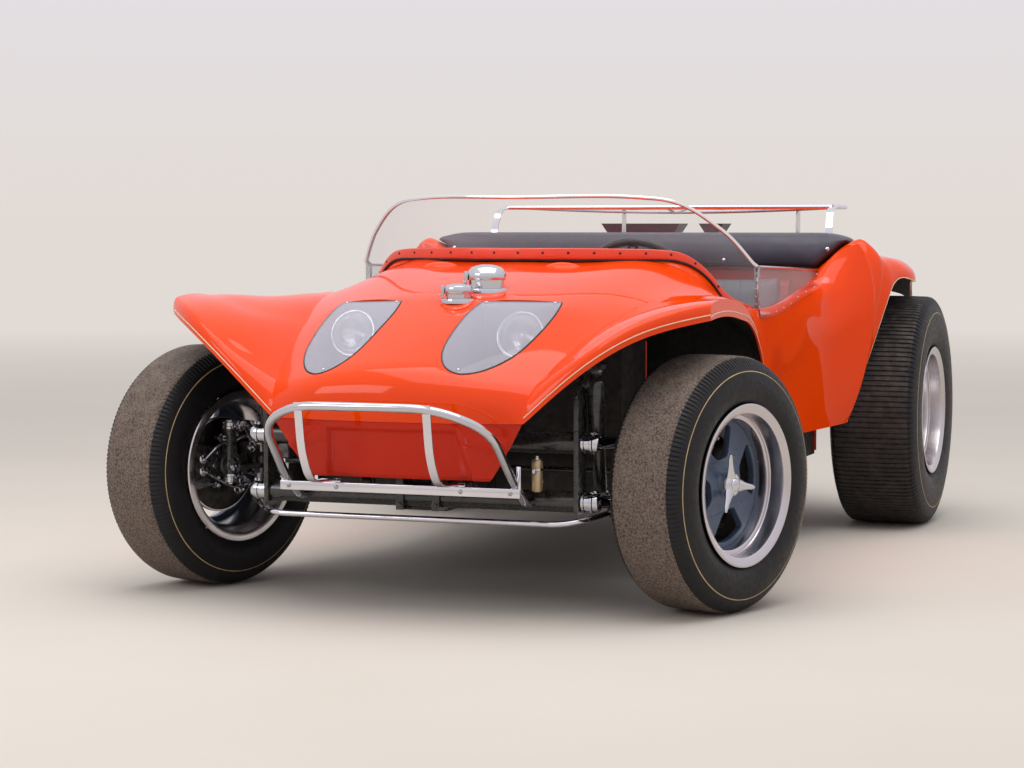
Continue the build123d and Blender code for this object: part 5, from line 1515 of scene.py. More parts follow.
def make_roll():
    """Padded roll behind the seats, thinner where it lies over the shoulders."""
    full = [(646, 862), (641, 882), (640, 905), (645, 928), (658, 946), (680, 957), (705, 962),
            (740, 962), (770, 959), (788, 953), (797, 942), (798, 920), (798, 895), (790, 876),
            (770, 862), (735, 858), (700, 858), (668, 858)]
    lap = [(648, 950), (645, 952), (645, 955), (649, 958), (660, 961), (680, 962), (705, 961),
           (740, 958), (768, 952), (784, 944), (792, 934), (792, 928), (788, 924), (780, 922),
           (766, 925), (735, 932), (700, 940), (668, 947)]
    stations = [(0, 0), (200, 0), (400, 0), (540, 0), (590, 0), (606, 0.08), (625, 0.26),
                (645, 0.46), (665, 0.7), (685, 0.92), (700, 1), (711, 1)]
    lap_slope = 0.13
    roll = bmesh.new()
    rows = []
    for x, share in [(-x, s) for x, s in stations[:0:-1]] + stations:
        drop = max(0, abs(x) - 630) * lap_slope
        row = [Vector((x, a[0] + (b[0] - a[0]) * share, a[1] + (b[1] - a[1]) * share - drop))
               for a, b in zip(full, lap)]
        if abs(x) > 705:
            middle = sum(row, Vector((0, 0, 0))) / len(row)
            row = [middle.lerp(p, 0.62) for p in row]
        rows.append([p * MM for p in row])
    verts = lay_grid(roll, rows, around=True)
    roll.faces.new(verts[0])
    roll.faces.new(verts[-1][::-1])
    cover = piece("padded_roll", closed_out(roll), [black_vinyl], corner=0,
                  stands_for=("coaming_pad",))
    puffed(cover, 8.0, 3.0, 3.0)
    smoothed_once(cover, 4)
    snaps = bmesh.new()
    for side in (-1, 1):
        turned(snaps, (side * 640, 643, 912), FRONT, [(-3, 8), (1.5, 8), (3.5, 6.5), (4.6, 3.5),
                                                      (4.8, 0)], 20)
        turned(snaps, (side * 300, 636.5, 876), FRONT, [(-3, 6), (1.5, 6), (3, 4.5), (3.6, 0)], 16)
    piece("roll_snaps", closed_out(snaps), [chrome_plate])


make_roll()


# Bumper: oval hoop, flat lower bar, two straps and their bolts

def flat_strip(cloth, run, across, half, thick):
    """Flat strip along a run in metres: across is its width's direction, sizes in millimetres."""
    run = [Vector(p) for p in run]
    rows = []
    for i, here in enumerate(run):
        way = (run[min(i + 1, len(run) - 1)] - run[max(i - 1, 0)]).normalized()
        wide = Vector(across)
        wide = (wide - way * wide.dot(way)).normalized()
        over = way.cross(wide) * thick * MM / 2
        wide = wide * half * MM
        rows.append([here + wide * a + over * b
                     for a, b in ((-1, 0.3), (-0.94, 1), (0.94, 1), (1, 0.3),
                                  (1, -0.3), (0.94, -1), (-0.94, -1), (-1, -0.3))])
    verts = lay_grid(cloth, rows, around=True)
    cloth.faces.new(verts[0][::-1])
    cloth.faces.new(verts[-1])


def make_bumper():
    """Nose hoop with its two polished straps bolted to the flat bar."""
    half = [(311, -1262.3, 290), (311, -1312, 290), (312, -1404, 352), (303, -1545, 492),
            (190, -1628, 548)]
    hoop = bmesh.new()
    run = rounded([(-x, y, z) for x, y, z in half] + [(0, -1630, 549)] + half[::-1], 96, 10)
    add_tube(hoop, run, 12 * MM, 20, flat=0.92)
    piece("bumper_hoop", closed_out(hoop), [chrome_plate], stands_for=("bumper",))
    bar = bmesh.new()
    add_box(bar, vec(-328, -1400, 312), vec(328, -1394, 336))
    for side in (-1, 1):
        add_box(bar, vec(side * 322 - 6, -1393.6, 318), vec(side * 322 + 6, -1389.6, 392))
    soften(piece("bumper_bar", closed_out(bar), [bright_plate]), 2.2, 3)
    straps = bmesh.new()
    for side in (-1, 1):
        flat_strip(straps, rounded([(side * 170, -1631, 556), (side * 170, -1608, 430),
                                    (side * 170, -1558, 352), (side * 170, -1401, 343)], 60, 8),
                   (1, 0, 0), 11, 4.6)
    piece("bumper_straps", closed_out(straps), [bright_plate])
    tabs = bmesh.new()
    for x in (-311, -170, 170, 311):
        add_box(tabs, vec(x - 9, -1394, 316), vec(x + 9, -1388, 345))
    soften(piece("bumper_tabs", closed_out(tabs), [bright_plate]), 1.5)
    bolts = bmesh.new()
    for side in (-1, 1):
        hex_bolt(bolts, (side * 170, -1388, 326), REAR, 11, 6)
        for x in (170, 303):
            turned(bolts, (side * x, -1400, 324), FRONT,
                   [(-1, 6), (1.4, 6), (3.2, 3.6), (3.8, 0)], 16)
        hex_bolt(bolts, (side * 170, -1619, 549), UP, 10, 5)
    piece("bumper_bolts", closed_out(bolts), [bright_steel])


make_bumper()


# Front running gear: arms, shocks, sway bar, steering joints and small parts on the beam

kingpin_x = track_front / 2 - kingpin_inset


def make_front_arms():
    """Trailing arms with their collars and kingpins, both sides."""
    arms = bmesh.new()
    for side in (-1, 1):
        for z in (290, 440):
            turned(arms, (side * 437, -1235, z), (side, 0, 0),
                   [(0, 0), (0, 23), (3, 26), (9, 26), (11, 23.5), (24, 23.5), (26, 26.5),
                    (31, 26.5), (33, 24), (44, 23), (48, 19), (48, 0)], 32)
            add_tube(arms, rounded([(side * 462, -1235, z), (side * 488, -1205, z),
                                    (side * 584, -1034, z), (side * 604, axle_front_y, z),
                                    (side * 626, axle_front_y, z)], 30, 6), 16.4 * MM, 20,
                     flat=0.92)
            turned(arms, (side * 606, axle_front_y, z), (side, 0, 0),
                   [(0, 0), (0, 15.4), (16, 15.4), (19, 18), (26, 18), (28, 14), (30, 0)], 24)
            turned(arms, (side * kingpin_x, axle_front_y, z - 9), UP,
                   [(0, 0), (0, 20), (2, 22), (16, 22), (18, 20), (18, 0)], 32)
            add_tube(arms, [vec(side * 622, axle_front_y, z), vec(side * 650, axle_front_y, z)],
                     8.8 * MM, 16)
            for x in (464, 474):
                hex_bolt(arms, (side * x, -1235, z + 25), UP, 9, 6)
        add_tube(arms, [vec(side * kingpin_x, axle_front_y, 281),
                        vec(side * kingpin_x, axle_front_y, 449)], 11.6 * MM, 20)
        for z, way in ((449, 1), (281, -1)):
            hex_bolt(arms, (side * kingpin_x, axle_front_y, z), (0, 0, way), 17, 5)
    piece("trailing_arms", closed_out(arms), [chrome_plate], stands_for=("front_arms",))


def make_shock(name, low, high, stands_for, cover=22, tube=17):
    """Telescopic shock with a dust cover, a bright rod and an eye at each end, both sides."""
    body, bright = bmesh.new(), bmesh.new()
    reach = 30
    for side in (-1, 1):
        start, end = (Vector((side * p[0], p[1], p[2])) for p in (low, high))
        way = end - start
        long = way.length
        turned(body, start, way, [(10, 0), (14, tube - 4), (22, tube), (long * 0.47, tube),
                                  (long * 0.475, tube - 3), (long * 0.475, 0)], 28)
        turned(body, start, way, [(long * 0.43, cover - 2), (long * 0.43, cover),
                                  (long - 34, cover), (long - 26, cover - 5), (long - 14, 9),
                                  (long - 8, 0)], 28)
        turned(bright, start, way, [(long * 0.3, 6), (long - 12, 6)], 16)
        for place in (start, end):
            turned(body, place - Vector((side * reach / 2, 0, 0)), (side, 0, 0),
                   [(0, 7), (0, 15), (2, 16), (reach - 2, 16), (reach, 15), (reach, 7)], 24)
            hex_bolt(bright, place + Vector((side * reach / 2, 0, 0)), (side, 0, 0), 15, 7)
    piece(name, closed_out(body), [beam_black], stands_for=(stands_for,))
    piece(name + "_rods", closed_out(bright), [bright_steel])


def make_small_front():
    """Sway bar with clamps, beam bolts, chin studs, brass canister and rod ends."""
    bar = bmesh.new()
    half = [(506, -1170, 264.6), (452, -1240, 246), (395, -1288, 237)]
    add_tube(bar, rounded([(-x, y, z) for x, y, z in half] + half[::-1], 42, 8), 8 * MM, 16)
    piece("sway_bar_rod", closed_out(bar), [bright_plate], stands_for=("sway_bar",))
    clamps = bmesh.new()
    for side in (-1, 1):
        turned(clamps, (side * 502, -1175, 263.3), (side * 54, 70, 18.6),
               [(-14, 0), (-14, 12), (-11, 14), (6, 14), (9, 12), (9, 0)], 16)
        for x in (-50, 50):
            hex_bolt(clamps, (x, -1269, 365 + side * 95), FRONT, 12, 6)
        for z in (640, 600):
            hex_bolt(clamps, (side * 458, -1255 if z == 640 else -1268, z - 6), FRONT, 12, 6)
        for z in (300, 340, 420, 470, 560):
            turned(clamps, (side * 430.8, -1268, z), FRONT, [(-1, 5), (1, 5), (3, 3), (3.4, 0)], 12)
    piece("beam_bolts", closed_out(clamps), [beam_black])
    studs = bmesh.new()
    for side in (-1, 1):
        turned(studs, (side * 142, -1262, 327), FRONT,
               [(0, 0), (0, 22), (10, 22), (11, 17), (24, 16), (29, 11), (31, 0)], 24)
    piece("chin_studs", closed_out(studs), [stud_dark])
    canister = bmesh.new()
    turned(canister, (335, -1290, 319), UP, [(0, 0), (0, 11), (4, 14), (52, 14), (54, 12.4),
                                             (57, 12.4), (59, 14), (78, 14), (82, 11), (82, 0)], 28)
    add_box(canister, vec(329, -1279, 340), vec(341, -1259, 344))
    piece("fluid_canister", closed_out(canister), [canister_brass])
    fittings = bmesh.new()
    turned(fittings, (335, -1290, 401), UP, [(0, 8), (4, 8), (5, 5), (9, 5), (9, 0)], 16)
    turned(fittings, (335, -1303, 372), FRONT, [(0, 4), (5, 4), (5, 5.6), (9, 5.6), (9, 0)], 12)
    turned(fittings, (335, -1290, 373), UP, [(0, 14), (0, 15.4), (6, 15.4), (6, 14)], 28)
    piece("canister_fittings", closed_out(fittings), [chrome_plate])
    rod_ends = bmesh.new()
    for x in (682.8, -613.6):
        turned(rod_ends, (x, -912, 345), UP, [(0, 0), (0, 10), (5, 10), (7, 8.5), (12, 7.5),
                                              (14, 0)], 20)
        hex_bolt(rod_ends, (x, -912, 329.6), (0, 0, -1), 14, 5)
    piece("rod_end_boots", closed_out(rod_ends), [gasket_black], body="track_rod")


def make_knuckle_parts(side, hand):
    """Bright and black parts on one knuckle, and the disc's polished edge, about the axle."""
    bright, dark = bmesh.new(), bmesh.new()
    turned(dark, (-70, 0, 0), (1, 0, 0), [(0, 0), (0, 34), (5, 40), (22, 42), (27, 56), (36, 58),
                                          (36, 0)], 40)
    for z in (-31, 100):
        turned(bright, (-kingpin_inset, 0, z), UP, [(-3, 0), (-3, 20), (0, 24), (6, 24), (9, 20),
                                                    (9, 0)], 28)
    turned(bright, (-88, 0, 0), (1, 0, 0), [(0, 0), (2, 15), (6, 20), (18, 21), (18, 0)], 32)
    for k in range(8):
        turn = 2 * pi * k / 8
        hex_bolt(bright, (-45, 49 * cos(turn), 49 * sin(turn)), (-1, 0, 0), 11, 7)
    add_box(dark, vec(-47, 58, -50), vec(-29, 126, 58))
    add_box(dark, vec(-47, 116, -36), vec(-3, 138, 46))
    add_box(dark, vec(-15, 76, -42), vec(-2, 126, 48))
    add_box(dark, vec(-52, -122, -30), vec(-30, -62, 40))
    for y, z in ((98, 42), (98, -36), (-92, 22), (-92, -12)):
        turned(bright, (-46, y, z), (-1, 0, 0), [(0, 0), (0, 15), (6, 15), (9, 12), (10, 6),
                                                 (10, 0)], 24)
        hex_bolt(bright, (-55, y, z), (-1, 0, 0), 9, 6, False)
    for points in ([(-50, 92, 50), (-70, 70, 70), (-76, 40, 78), (-60, 10, 60)],
                   [(-60, -92, 24), (-84, -70, 58), (-80, -34, 66), (-64, -8, 44)],
                   [(-52, 94, -44), (-60, 60, -66), (-74, 20, -66), (-62, -20, -52),
                    (-60, -90, -16)]):
        add_tube(bright, rounded(points, 24, 5), 3.4 * MM, 10)
    for y, z, r in ((-30, 76, 12), (34, -70, 14), (-56, -52, 10), (20, 84, 9)):
        turned(bright, (-46, y, z), (-1, -0.2, 0), [(0, 0), (0, r), (18, r), (22, r * 0.7),
                                                    (34, r * 0.6), (36, 0)], 16)
    for cloth in (bright, dark):
        closed_out(cloth)
        put(cloth, wheel_place(side, True))
    piece(f"knuckle_fittings_{hand}", closed_out(bright), [chrome_plate],
          body=f"knuckle_{hand}")
    soften(piece(f"brake_caliper_{hand}", closed_out(dark), [beam_black],
                 body=f"knuckle_{hand}"), 3, 2)
    edge = bmesh.new()
    spun(edge, [(-28, 127), (-28, 131.4), (-27, 132), (-17, 132), (-16, 131.4), (-16, 127)], 96,
         closed=True)
    put(edge, wheel_place(side, True))
    piece(f"disc_edge_{hand}", closed_out(edge), [polished_rim],
          body=f"front_wheel_{hand}")


make_front_arms()
make_shock("front_shock_bodies", (459, -1150, 300), (461, -1212, 626), "front_shocks")
make_small_front()
for side, hand in both_sides:
    make_knuckle_parts(side, hand)


# Filler caps on the hood

latch_turn = radians(-62)


def make_cap(name, x, y, z, r, neck, dome, tall):
    """Flanged open neck with screws, and a hinged domed lid with its latch lever."""
    base = bmesh.new()
    turned(base, (x, y, z - 10), UP,
           [(0, 0), (0, r + 10), (10, r + 10), (12, r + 9), (12.5, r + 1), (14, r - 1), (14, r - 2),
            (9 + neck, r - 2), (9 + neck, r - 5), (neck - 8, r - 5), (neck - 8, 0)], 64)
    piece(f"{name}_base", closed_out(base), [chrome_plate], stands_for=(f"{name}_neck",))
    well = bmesh.new()
    turned(well, (x, y, z - 10), UP, [(neck - 7.6, r - 5.2), (neck - 7.6, 0)], 48)
    piece(f"{name}_well", well, [gasket_black])
    screws = bmesh.new()
    for k in range(6):
        turn = pi * (k / 3 + 1 / 6)
        turned(screws, (x + (r + 5.6) * cos(turn), y + (r + 5.6) * sin(turn), z + 1), UP,
               [(0, 2.6), (2.2, 2.6), (3, 1.6), (3.2, 0)], 10)
    piece(f"{name}_screws", closed_out(screws), [bright_steel])
    lid = bmesh.new()
    low = z + neck
    turned(lid, (x, y, low), UP,
           [(0.8, 0), (0.8, r - 1), (-9, r - 1), (-9, r + 2), (-6, r + 3), (7, r + 3),
            (11, r + 1), (dome * tall * 0.57, r * 0.93), (dome * tall * 0.76, r * 0.8),
            (dome * tall * 0.9, r * 0.56), (dome * tall * 0.98, r * 0.3), (dome * tall, 0)], 64)
    for k in (-1, 1):
        add_box(lid, vec(x + k * r * 0.3 - 3, y + r - 4, low - 2),
                vec(x + k * r * 0.3 + 3, y + r + 10, low + 8))
    add_tube(lid, [vec(x - r * 0.36, y + r + 6, low + 4.6),
                   vec(x + r * 0.36, y + r + 6, low + 4.6)], 3 * MM, 12)
    piece(f"{name}_dome", closed_out(lid), [chrome_plate], body=f"{name}_lid",
          stands_for=(f"{name}_lid",))
    latch = bmesh.new()
    turn = Matrix.Translation(vec(x, y, low)) @ Matrix.Rotation(latch_turn, 4, "Z")
    wide = r * 0.24
    add_box(latch, vec(-wide, -r - 10, -neck * 0.62), vec(wide, -r - 3.4, 12), turn)
    for k in (-1, 1):
        add_box(latch, vec(k * wide * 1.3 - 2, -r - 8, -9), vec(k * wide * 1.3 + 2, -r - 2, 14),
                turn)
    add_box(latch, vec(-wide * 0.8, -r - 15, -neck * 0.66), vec(wide * 0.8, -r - 9, -neck * 0.3),
            turn)
    soften(piece(f"{name}_latch", closed_out(latch), [chrome_plate], body=f"{name}_lid"),
           1.2)


make_cap("fuel", 64, -930, 819, 50, 34, 26, 1.25)
make_cap("brake_fluid", 27, -1045, 794, 36, 24, 18, 1.04)


# Panels that close the wheel arches, seen from the front

arch_panels = bmesh.new()
for side in (-1, 1):
    outline = [(420, 300), (590, 330), (722, 345)]
    outline += [(x - 4, z - 4) for x, y, z in reversed(join_outline[::2])] + [(420, 793)]
    add_slab(arch_panels, outline, lambda x, z, s=side: vec(s * x, fender_end_y, z),
             lambda x, z, s=side: vec(s * x, fender_end_y + 4, z))
piece("arch_panels", closed_out(arch_panels), [arch_black])


# Inner sills between the floor and the cockpit sides

sills = bmesh.new()
rows = []
for row in side_left_rows[:side_row_count]:
    low = min(row, key=lambda p: abs(p.z - 0.352) + (0.5 if p.x < 0.6 else 0))
    if -0.612 < low.y < 0.69:
        rows.append([vec(588, low.y / MM, 250), vec(588, low.y / MM, 344), low + vec(-5, 0, 0)])
lay_grid(sills, rows)
lay_grid(sills, mirrored(rows), flip=True)
piece("inner_sills", sills, [floor_coating])


# Steering wheel

def make_steering_wheel():
    """Padded rim, three slotted bright spokes and a plain hub cap."""
    middle = Vector((210, 0, 795))
    normal, up = Vector((0, 0.883, 0.469)), Vector((0, -0.469, 0.883))
    across = Vector((1, 0, 0))

    rim = bmesh.new()
    sizes = [(12.4 + 0.6 * (k % 10 in (0, 1))) * MM for k in range(120)]
    add_tube(rim, ring_about(middle * MM, across, up, 165 * MM, 120), sizes, 20, closed=True)
    piece("steering_rim", closed_out(rim), [black_rim_grip], body="steering_wheel",
          stands_for=("steering_wheel",))
    spokes = bmesh.new()
    for angle in (90, 210, 330):
        way = across * cos(radians(angle)) + up * sin(radians(angle))
        wide = normal.cross(way)

        def spoke_at(r, w):
            return (middle + way * r + wide * w - normal * 6 * (1 - r / 160)) * MM
        for k in (-1, 1):
            run = [spoke_at(r, k * w)
                   for r, w in ((26, 17), (60, 13.5), (100, 11.5), (140, 11), (158, 12))]
            flat_strip(spokes, run, wide, 5, 4)
        for r in (62, 156):
            flat_strip(spokes, [spoke_at(r, w) for w in (-12, 12)], way, 9, 4)
    piece("steering_spokes", closed_out(spokes), [bright_steel], body="steering_wheel")
    hub = bmesh.new()
    turned(hub, middle, normal, [(-22, 0), (-22, 24), (-6, 34), (0, 34), (4, 31), (6, 25), (7, 24),
                                 (11, 20), (13, 10), (13.5, 0)], 40)
    piece("steering_hub", closed_out(hub), [black_rim_grip], body="steering_wheel")


make_steering_wheel()


# Dashboard instruments, switches and levers

def make_cockpit_parts():
    """Two dials with plain marks under glass, a row of pull switches and two levers."""
    dial_z = 800
    bezels, faces, marks, glass, needles = (bmesh.new() for _ in range(5))
    for x in (160, 270):
        place, way = (x, -300, dial_z), REAR
        turned(bezels, place, way, [(-1, 40), (5, 40), (8, 38), (8, 34), (5, 33)], 48)
        turned(faces, place, way, [(4, 34), (4.2, 0)], 40)
        turned(glass, place, way, [(6, 34.5), (7, 20), (7.4, 0)], 40)
        for k in range(11):
            turn = radians(225 - 27 * k)
            long = 7 if k % 5 == 0 else 4
            ends = [vec(x - cos(turn) * r, -295.4, dial_z + sin(turn) * r) for r in (30 - long, 30)]
            flat_strip(marks, ends, (sin(turn), 0, cos(turn)), 0.8, 0.5)
        turn = radians(150)
        tip = vec(x - cos(turn) * 24, -294.6, dial_z + sin(turn) * 24)
        flat_strip(needles, [vec(x, -294.6, dial_z), tip], UP, 1.1, 0.6)
        turned(needles, (x, -295.6, dial_z), REAR, [(0, 4), (2, 4), (2.6, 0)], 16)
    for x in (-40, 0, 40, 80):
        turned(bezels, (x, -302, 785), REAR, [(0, 9), (4, 9), (4, 4), (16, 4), (16, 9), (20, 10),
                                              (24, 8), (25, 0)], 24)
    piece("gauge_bezels", closed_out(bezels), [chrome_plate])
    piece("gauge_faces", faces, [gasket_black])
    piece("gauge_marks", closed_out(marks), [pin_line])
    piece("gauge_needles", closed_out(needles), [red_lamp])
    piece("gauge_glass", glass, [clear_screen])
    sticks = bmesh.new()
    add_tube(sticks, [vec(0, 40, 402), vec(0, 36, 520), vec(0, 20, 622)], 5.5 * MM, 16)
    add_tube(sticks, [vec(0, 300, 412), vec(0, 150, 496)], 7 * MM, 16)
    piece("lever_rods", closed_out(sticks), [bright_steel], stands_for=("levers",))
    grips = bmesh.new()
    turned(grips, (0, 20, 616), (0, -0.083, 0.996), [(0, 0), (0, 8), (4, 12), (12, 20), (24, 24),
                                                     (34, 22), (42, 15), (46, 6), (47, 0)], 32)
    turned(grips, (0, 225, 454), (0, -0.866, 0.5), [(0, 0), (0, 11), (6, 13), (20, 12), (34, 13),
                                                    (48, 12), (62, 13), (80, 12), (86, 8), (88, 0)],
           24)
    turned(grips, (0, 40, 398), UP, [(0, 44), (4, 44), (10, 34), (16, 38), (24, 26), (30, 30),
                                     (38, 19), (44, 22), (54, 12), (66, 8), (66, 0)], 32)
    piece("lever_grips", closed_out(grips), [black_rim_grip])


make_cockpit_parts()


# Bucket seats: a hard shell and two cushions with sewn channels; the panel behind them

def cushion(name, x, run, half, pitch, seam):
    """Padded form with an outline seen from the side and channels sewn into its face."""
    seam_half, seam_depth = 7.0, 4.2
    block = bmesh.new()
    add_slab(block, run, lambda y, z: vec(x - half, y, z), lambda y, z: vec(x + half, y, z))
    cover = piece(name, closed_out(block), [grey_vinyl], corner=0)
    edges = cover.modifiers.new("soft corners", "BEVEL")
    edges.width = 0.02
    edges.segments = 3
    settled(cover, 0)
    puffed(cover, 9.0, 9.0, 4.0)
    smoothed_once(cover, 3)
    middle = sum((Vector(p) for p in run), Vector((0, 0))) / len(run)
    mesh = cover.data
    for v, side in zip(mesh.vertices, [v.normal.copy() for v in mesh.vertices]):
        across = v.co.x / MM - x
        if abs(across) > half * 0.8:
            continue
        off = (across / pitch + 0.5) % 1.0 - 0.5
        groove = max(0.0, 1 - abs(off) * pitch / seam_half)
        if (Vector((v.co.y / MM, v.co.z / MM)) - middle).dot(Vector(seam)) > 0:
            v.co -= side * seam_depth * MM * groove ** 1.5


def make_seat(side, hand):
    """One bucket seat."""
    x = side * 300
    shell = bmesh.new()
    run = [(70, 262), (74, 300), (500, 262), (560, 262), (584, 300), (622, 560), (676, 800),
           (668, 815), (650, 800), (604, 568), (566, 330), (540, 300), (110, 330), (80, 410),
           (66, 400), (62, 300)]
    add_slab(shell, run, lambda y, z: vec(x - 214, y, z), lambda y, z: vec(x + 214, y, z))
    soften(piece(f"seat_shell_{hand}", closed_out(shell), [seat_shell_finish],
                 stands_for=(f"seat_{hand}",)), 8, 3)
    cushion(f"seat_cushion_{hand}", x, [(92, 300), (520, 282), (528, 388), (440, 392), (110, 402),
                                        (84, 372)], 196, 56, (0, 1))
    cushion(f"back_cushion_{hand}", x, [(548, 388), (590, 396), (622, 560), (668, 800), (650, 828),
                                        (628, 818), (560, 580), (524, 440)], 194, 56, (-1, 0.2))


bulkhead = bmesh.new()
add_slab(bulkhead, [(-598, 262), (598, 262), (598, 842), (-598, 842)], lambda x, z: vec(x, 688, z),
         lambda x, z: vec(x, 691.4, z))
piece("bulkhead_panel", closed_out(bulkhead), [orange_inside])
for side, hand in both_sides:
    make_seat(side, hand)


# Luggage rack: flat front posts that bend back into the side bars, rods and two rear stays

rack_stays = (402, -227)
rack_half, rack_front, rack_rear, rack_z = 575, 1000, 1262, 1050


def make_rack():
    """Bright rack over the rear deck, with rods that sag in the middle."""
    sag = 17
    frame_bars = bmesh.new()
    run = [(rack_half, rack_front, rack_z), (rack_half, rack_rear, rack_z),
           (-rack_half, rack_rear, rack_z), (-rack_half, rack_front, rack_z)]
    add_tube(frame_bars, rounded(run, 70, 8), 8 * MM, 14)
    add_tube(frame_bars, [vec(*run[3]), vec(*run[0])], 8 * MM, 14)
    for x in rack_stays:
        add_tube(frame_bars, [vec(x, 1240, 872), vec(x, 1240, 1046)], 8 * MM, 14)
    piece("rack_bars", closed_out(frame_bars), [bright_plate], stands_for=("rack",))
    rods = bmesh.new()
    for y in np.linspace(1034, 1230, 6):
        add_tube(rods, [vec(-572 + 1144 * k / 16, y, 1048 - sag * sin(pi * k / 16))
                        for k in range(17)], 3.2 * MM, 8)
    add_tube(rods, [vec(0, rack_front, 1046), vec(0, 1120, 1030), vec(0, rack_rear, 1046)],
             3.6 * MM, 8)
    piece("rack_rods", closed_out(rods), [rod_plate])
    posts = bmesh.new()
    for side in (-1, 1):
        flat_strip(posts, rounded([(side * 589, 886, 926), (side * 588, 900, 990),
                                   (side * 584, 930, 1040), (side * 578, 1050, 1056)], 44, 8),
                   (1, 0, 0), 12, 5)
        add_box(posts, vec(side * 589 - 19, 872, 919), vec(side * 589 + 19, 902, 926))
    for x in rack_stays:
        turned(posts, (x, 1240, 866), UP, [(0, 0), (0, 17), (6, 17), (8, 14), (8, 0)], 20)
    piece("rack_posts", closed_out(posts), [bright_plate])


make_rack()


# Tail: lamps, engine, exhaust and rear shocks

def box_like(angle):
    """Divisor that turns a circle into a square with rounded corners."""
    return max(abs(cos(angle)), abs(sin(angle))) ** 0.8


def make_tail():
    """Round tail lamps and the visible parts of the engine."""
    rings, lenses = bmesh.new(), bmesh.new()
    for side in (-1, 1):
        place, way = (side * 430, 1322, 745), REAR
        turned(rings, place, way, [(0, 0), (0, 41), (7, 41), (11, 38), (11, 34), (7, 33)], 40)
        turned(lenses, place, way, [(7, 34), (12, 31), (17, 22), (19, 12), (19.5, 0)], 40)
    piece("tail_lamp_rings", closed_out(rings), [chrome_plate])
    piece("tail_lamp_lenses", closed_out(lenses), [red_lamp],
          stands_for=("tail_lamps",))
    fins = bmesh.new()
    for side in (-1, 1):
        for y in (1230, 1335, 1440):
            for k in range(13):
                x = 142 + k * 9.6
                turned(fins, (side * x, y, 400), (side, 0, 0),
                       [(0, 30), (0, 49), (3, 50), (5, 49), (5, 30)], 24)
        for k in range(9):
            z = 352 + k * 11
            add_box(fins, vec(side * 305 - 39, 1186, z), vec(side * 305 + 39, 1484, z + 5))
    piece("cooling_fins", closed_out(fins), [cast_metal])
    covers = bmesh.new()
    for side in (-1, 1):
        rows = []
        for share, out in ((1.0, 338), (1.0, 352), (0.94, 362), (0.8, 368), (0.4, 370)):
            rows.append([vec(side * out, 1335 + 134 * share * cos(a) / box_like(a),
                             400 + 42 * share * sin(a) / box_like(a))
                         for a in np.linspace(0, 2 * pi, 48, endpoint=False)])
        verts = lay_grid(covers, rows, around=True)
        covers.faces.new(verts[-1])
        add_tube(covers, rounded([(side * 352, 1335, 362), (side * 376, 1335, 372),
                                  (side * 376, 1335, 428), (side * 352, 1335, 438)], 14, 4),
                 2.4 * MM, 10)
    piece("valve_covers", closed_out(covers), [beam_black])
    drive = bmesh.new()
    turned(drive, (0, 1500, 400), REAR, [(0, 22), (8, 22), (8, 80), (14, 84), (17, 76), (20, 76),
                                         (23, 84), (27, 82), (28, 70), (24, 60), (22, 26), (28, 20),
                                         (28, 0)], 48)
    turned(drive, (0, 1462, 690), REAR, [(-60, 0), (-60, 44), (16, 46), (20, 30), (36, 30),
                                         (36, 54), (42, 56), (46, 50), (50, 56), (56, 54), (57, 0)],
           40)
    piece("pulleys", closed_out(drive), [bright_steel])
    belt = bmesh.new()
    add_tube(belt, rounded([(80, 1518, 400), (80, 1518, 330), (-80, 1518, 330), (-80, 1518, 400),
                            (-54, 1514, 690), (-50, 1514, 742), (50, 1514, 742), (54, 1514, 690),
                            (80, 1518, 400)], 70, 6), 5 * MM, 8)
    piece("fan_belt", closed_out(belt), [gasket_black])
    bits = bmesh.new()
    turned(bits, (-150, 1440, 560), (0, 0.3, 1), [(-60, 0), (-60, 17), (40, 17), (44, 30), (62, 30),
                                                  (66, 24), (80, 20), (82, 0)], 28)
    turned(bits, (170, 1440, 640), UP, [(-60, 0), (-60, 26), (50, 26), (54, 14), (66, 9), (66, 0)],
           28)
    piece("ignition_parts", closed_out(bits), [gasket_black])
    tips = bmesh.new()
    for side in (-1, 1):
        turned(tips, (side * 120, 1600, 326), REAR, [(0, 20.4), (2, 22.6), (38, 22.6), (40, 21.6),
                                                     (40, 18.6), (6, 18)], 32)
        for x in (side * 246, side * 60):
            turned(tips, (x - 5, 1566, 326), (1, 0, 0), [(0, 32), (0, 34), (10, 34), (10, 32)], 36)
        for y in (1230, 1440):
            hex_bolt(tips, (side * 305, y, 352), (0, 0, -1), 14, 8)
    piece("exhaust_trim", closed_out(tips), [bright_steel])


make_tail()
make_shock("rear_shock_bodies", (520, 1080, 367), (506, 1044, 684), "rear_shocks", 24, 18)



# Camera, floor and light

horizon = srgb(226, 219, 213)
camera = bpy.data.cameras.new("camera")
camera.lens = 87.04
camera.sensor_width = 36.0
camera_at = bpy.data.objects.new("camera", camera)
camera_at.location = (2.3956, -7.1593, 0.9973)
camera_at.rotation_euler = (radians(86.27), 0.0, radians(19.93))
bpy.context.scene.collection.objects.link(camera_at)
bpy.context.scene.camera = camera_at


def seen_rays(tree):
    """1 for camera, glossy and transmission rays."""
    path = tree.nodes.new("ShaderNodeLightPath")
    share = sums(tree, "MAXIMUM", path.outputs["Is Camera Ray"], path.outputs["Is Glossy Ray"])
    return sums(tree, "MAXIMUM", share, path.outputs["Is Transmission Ray"])


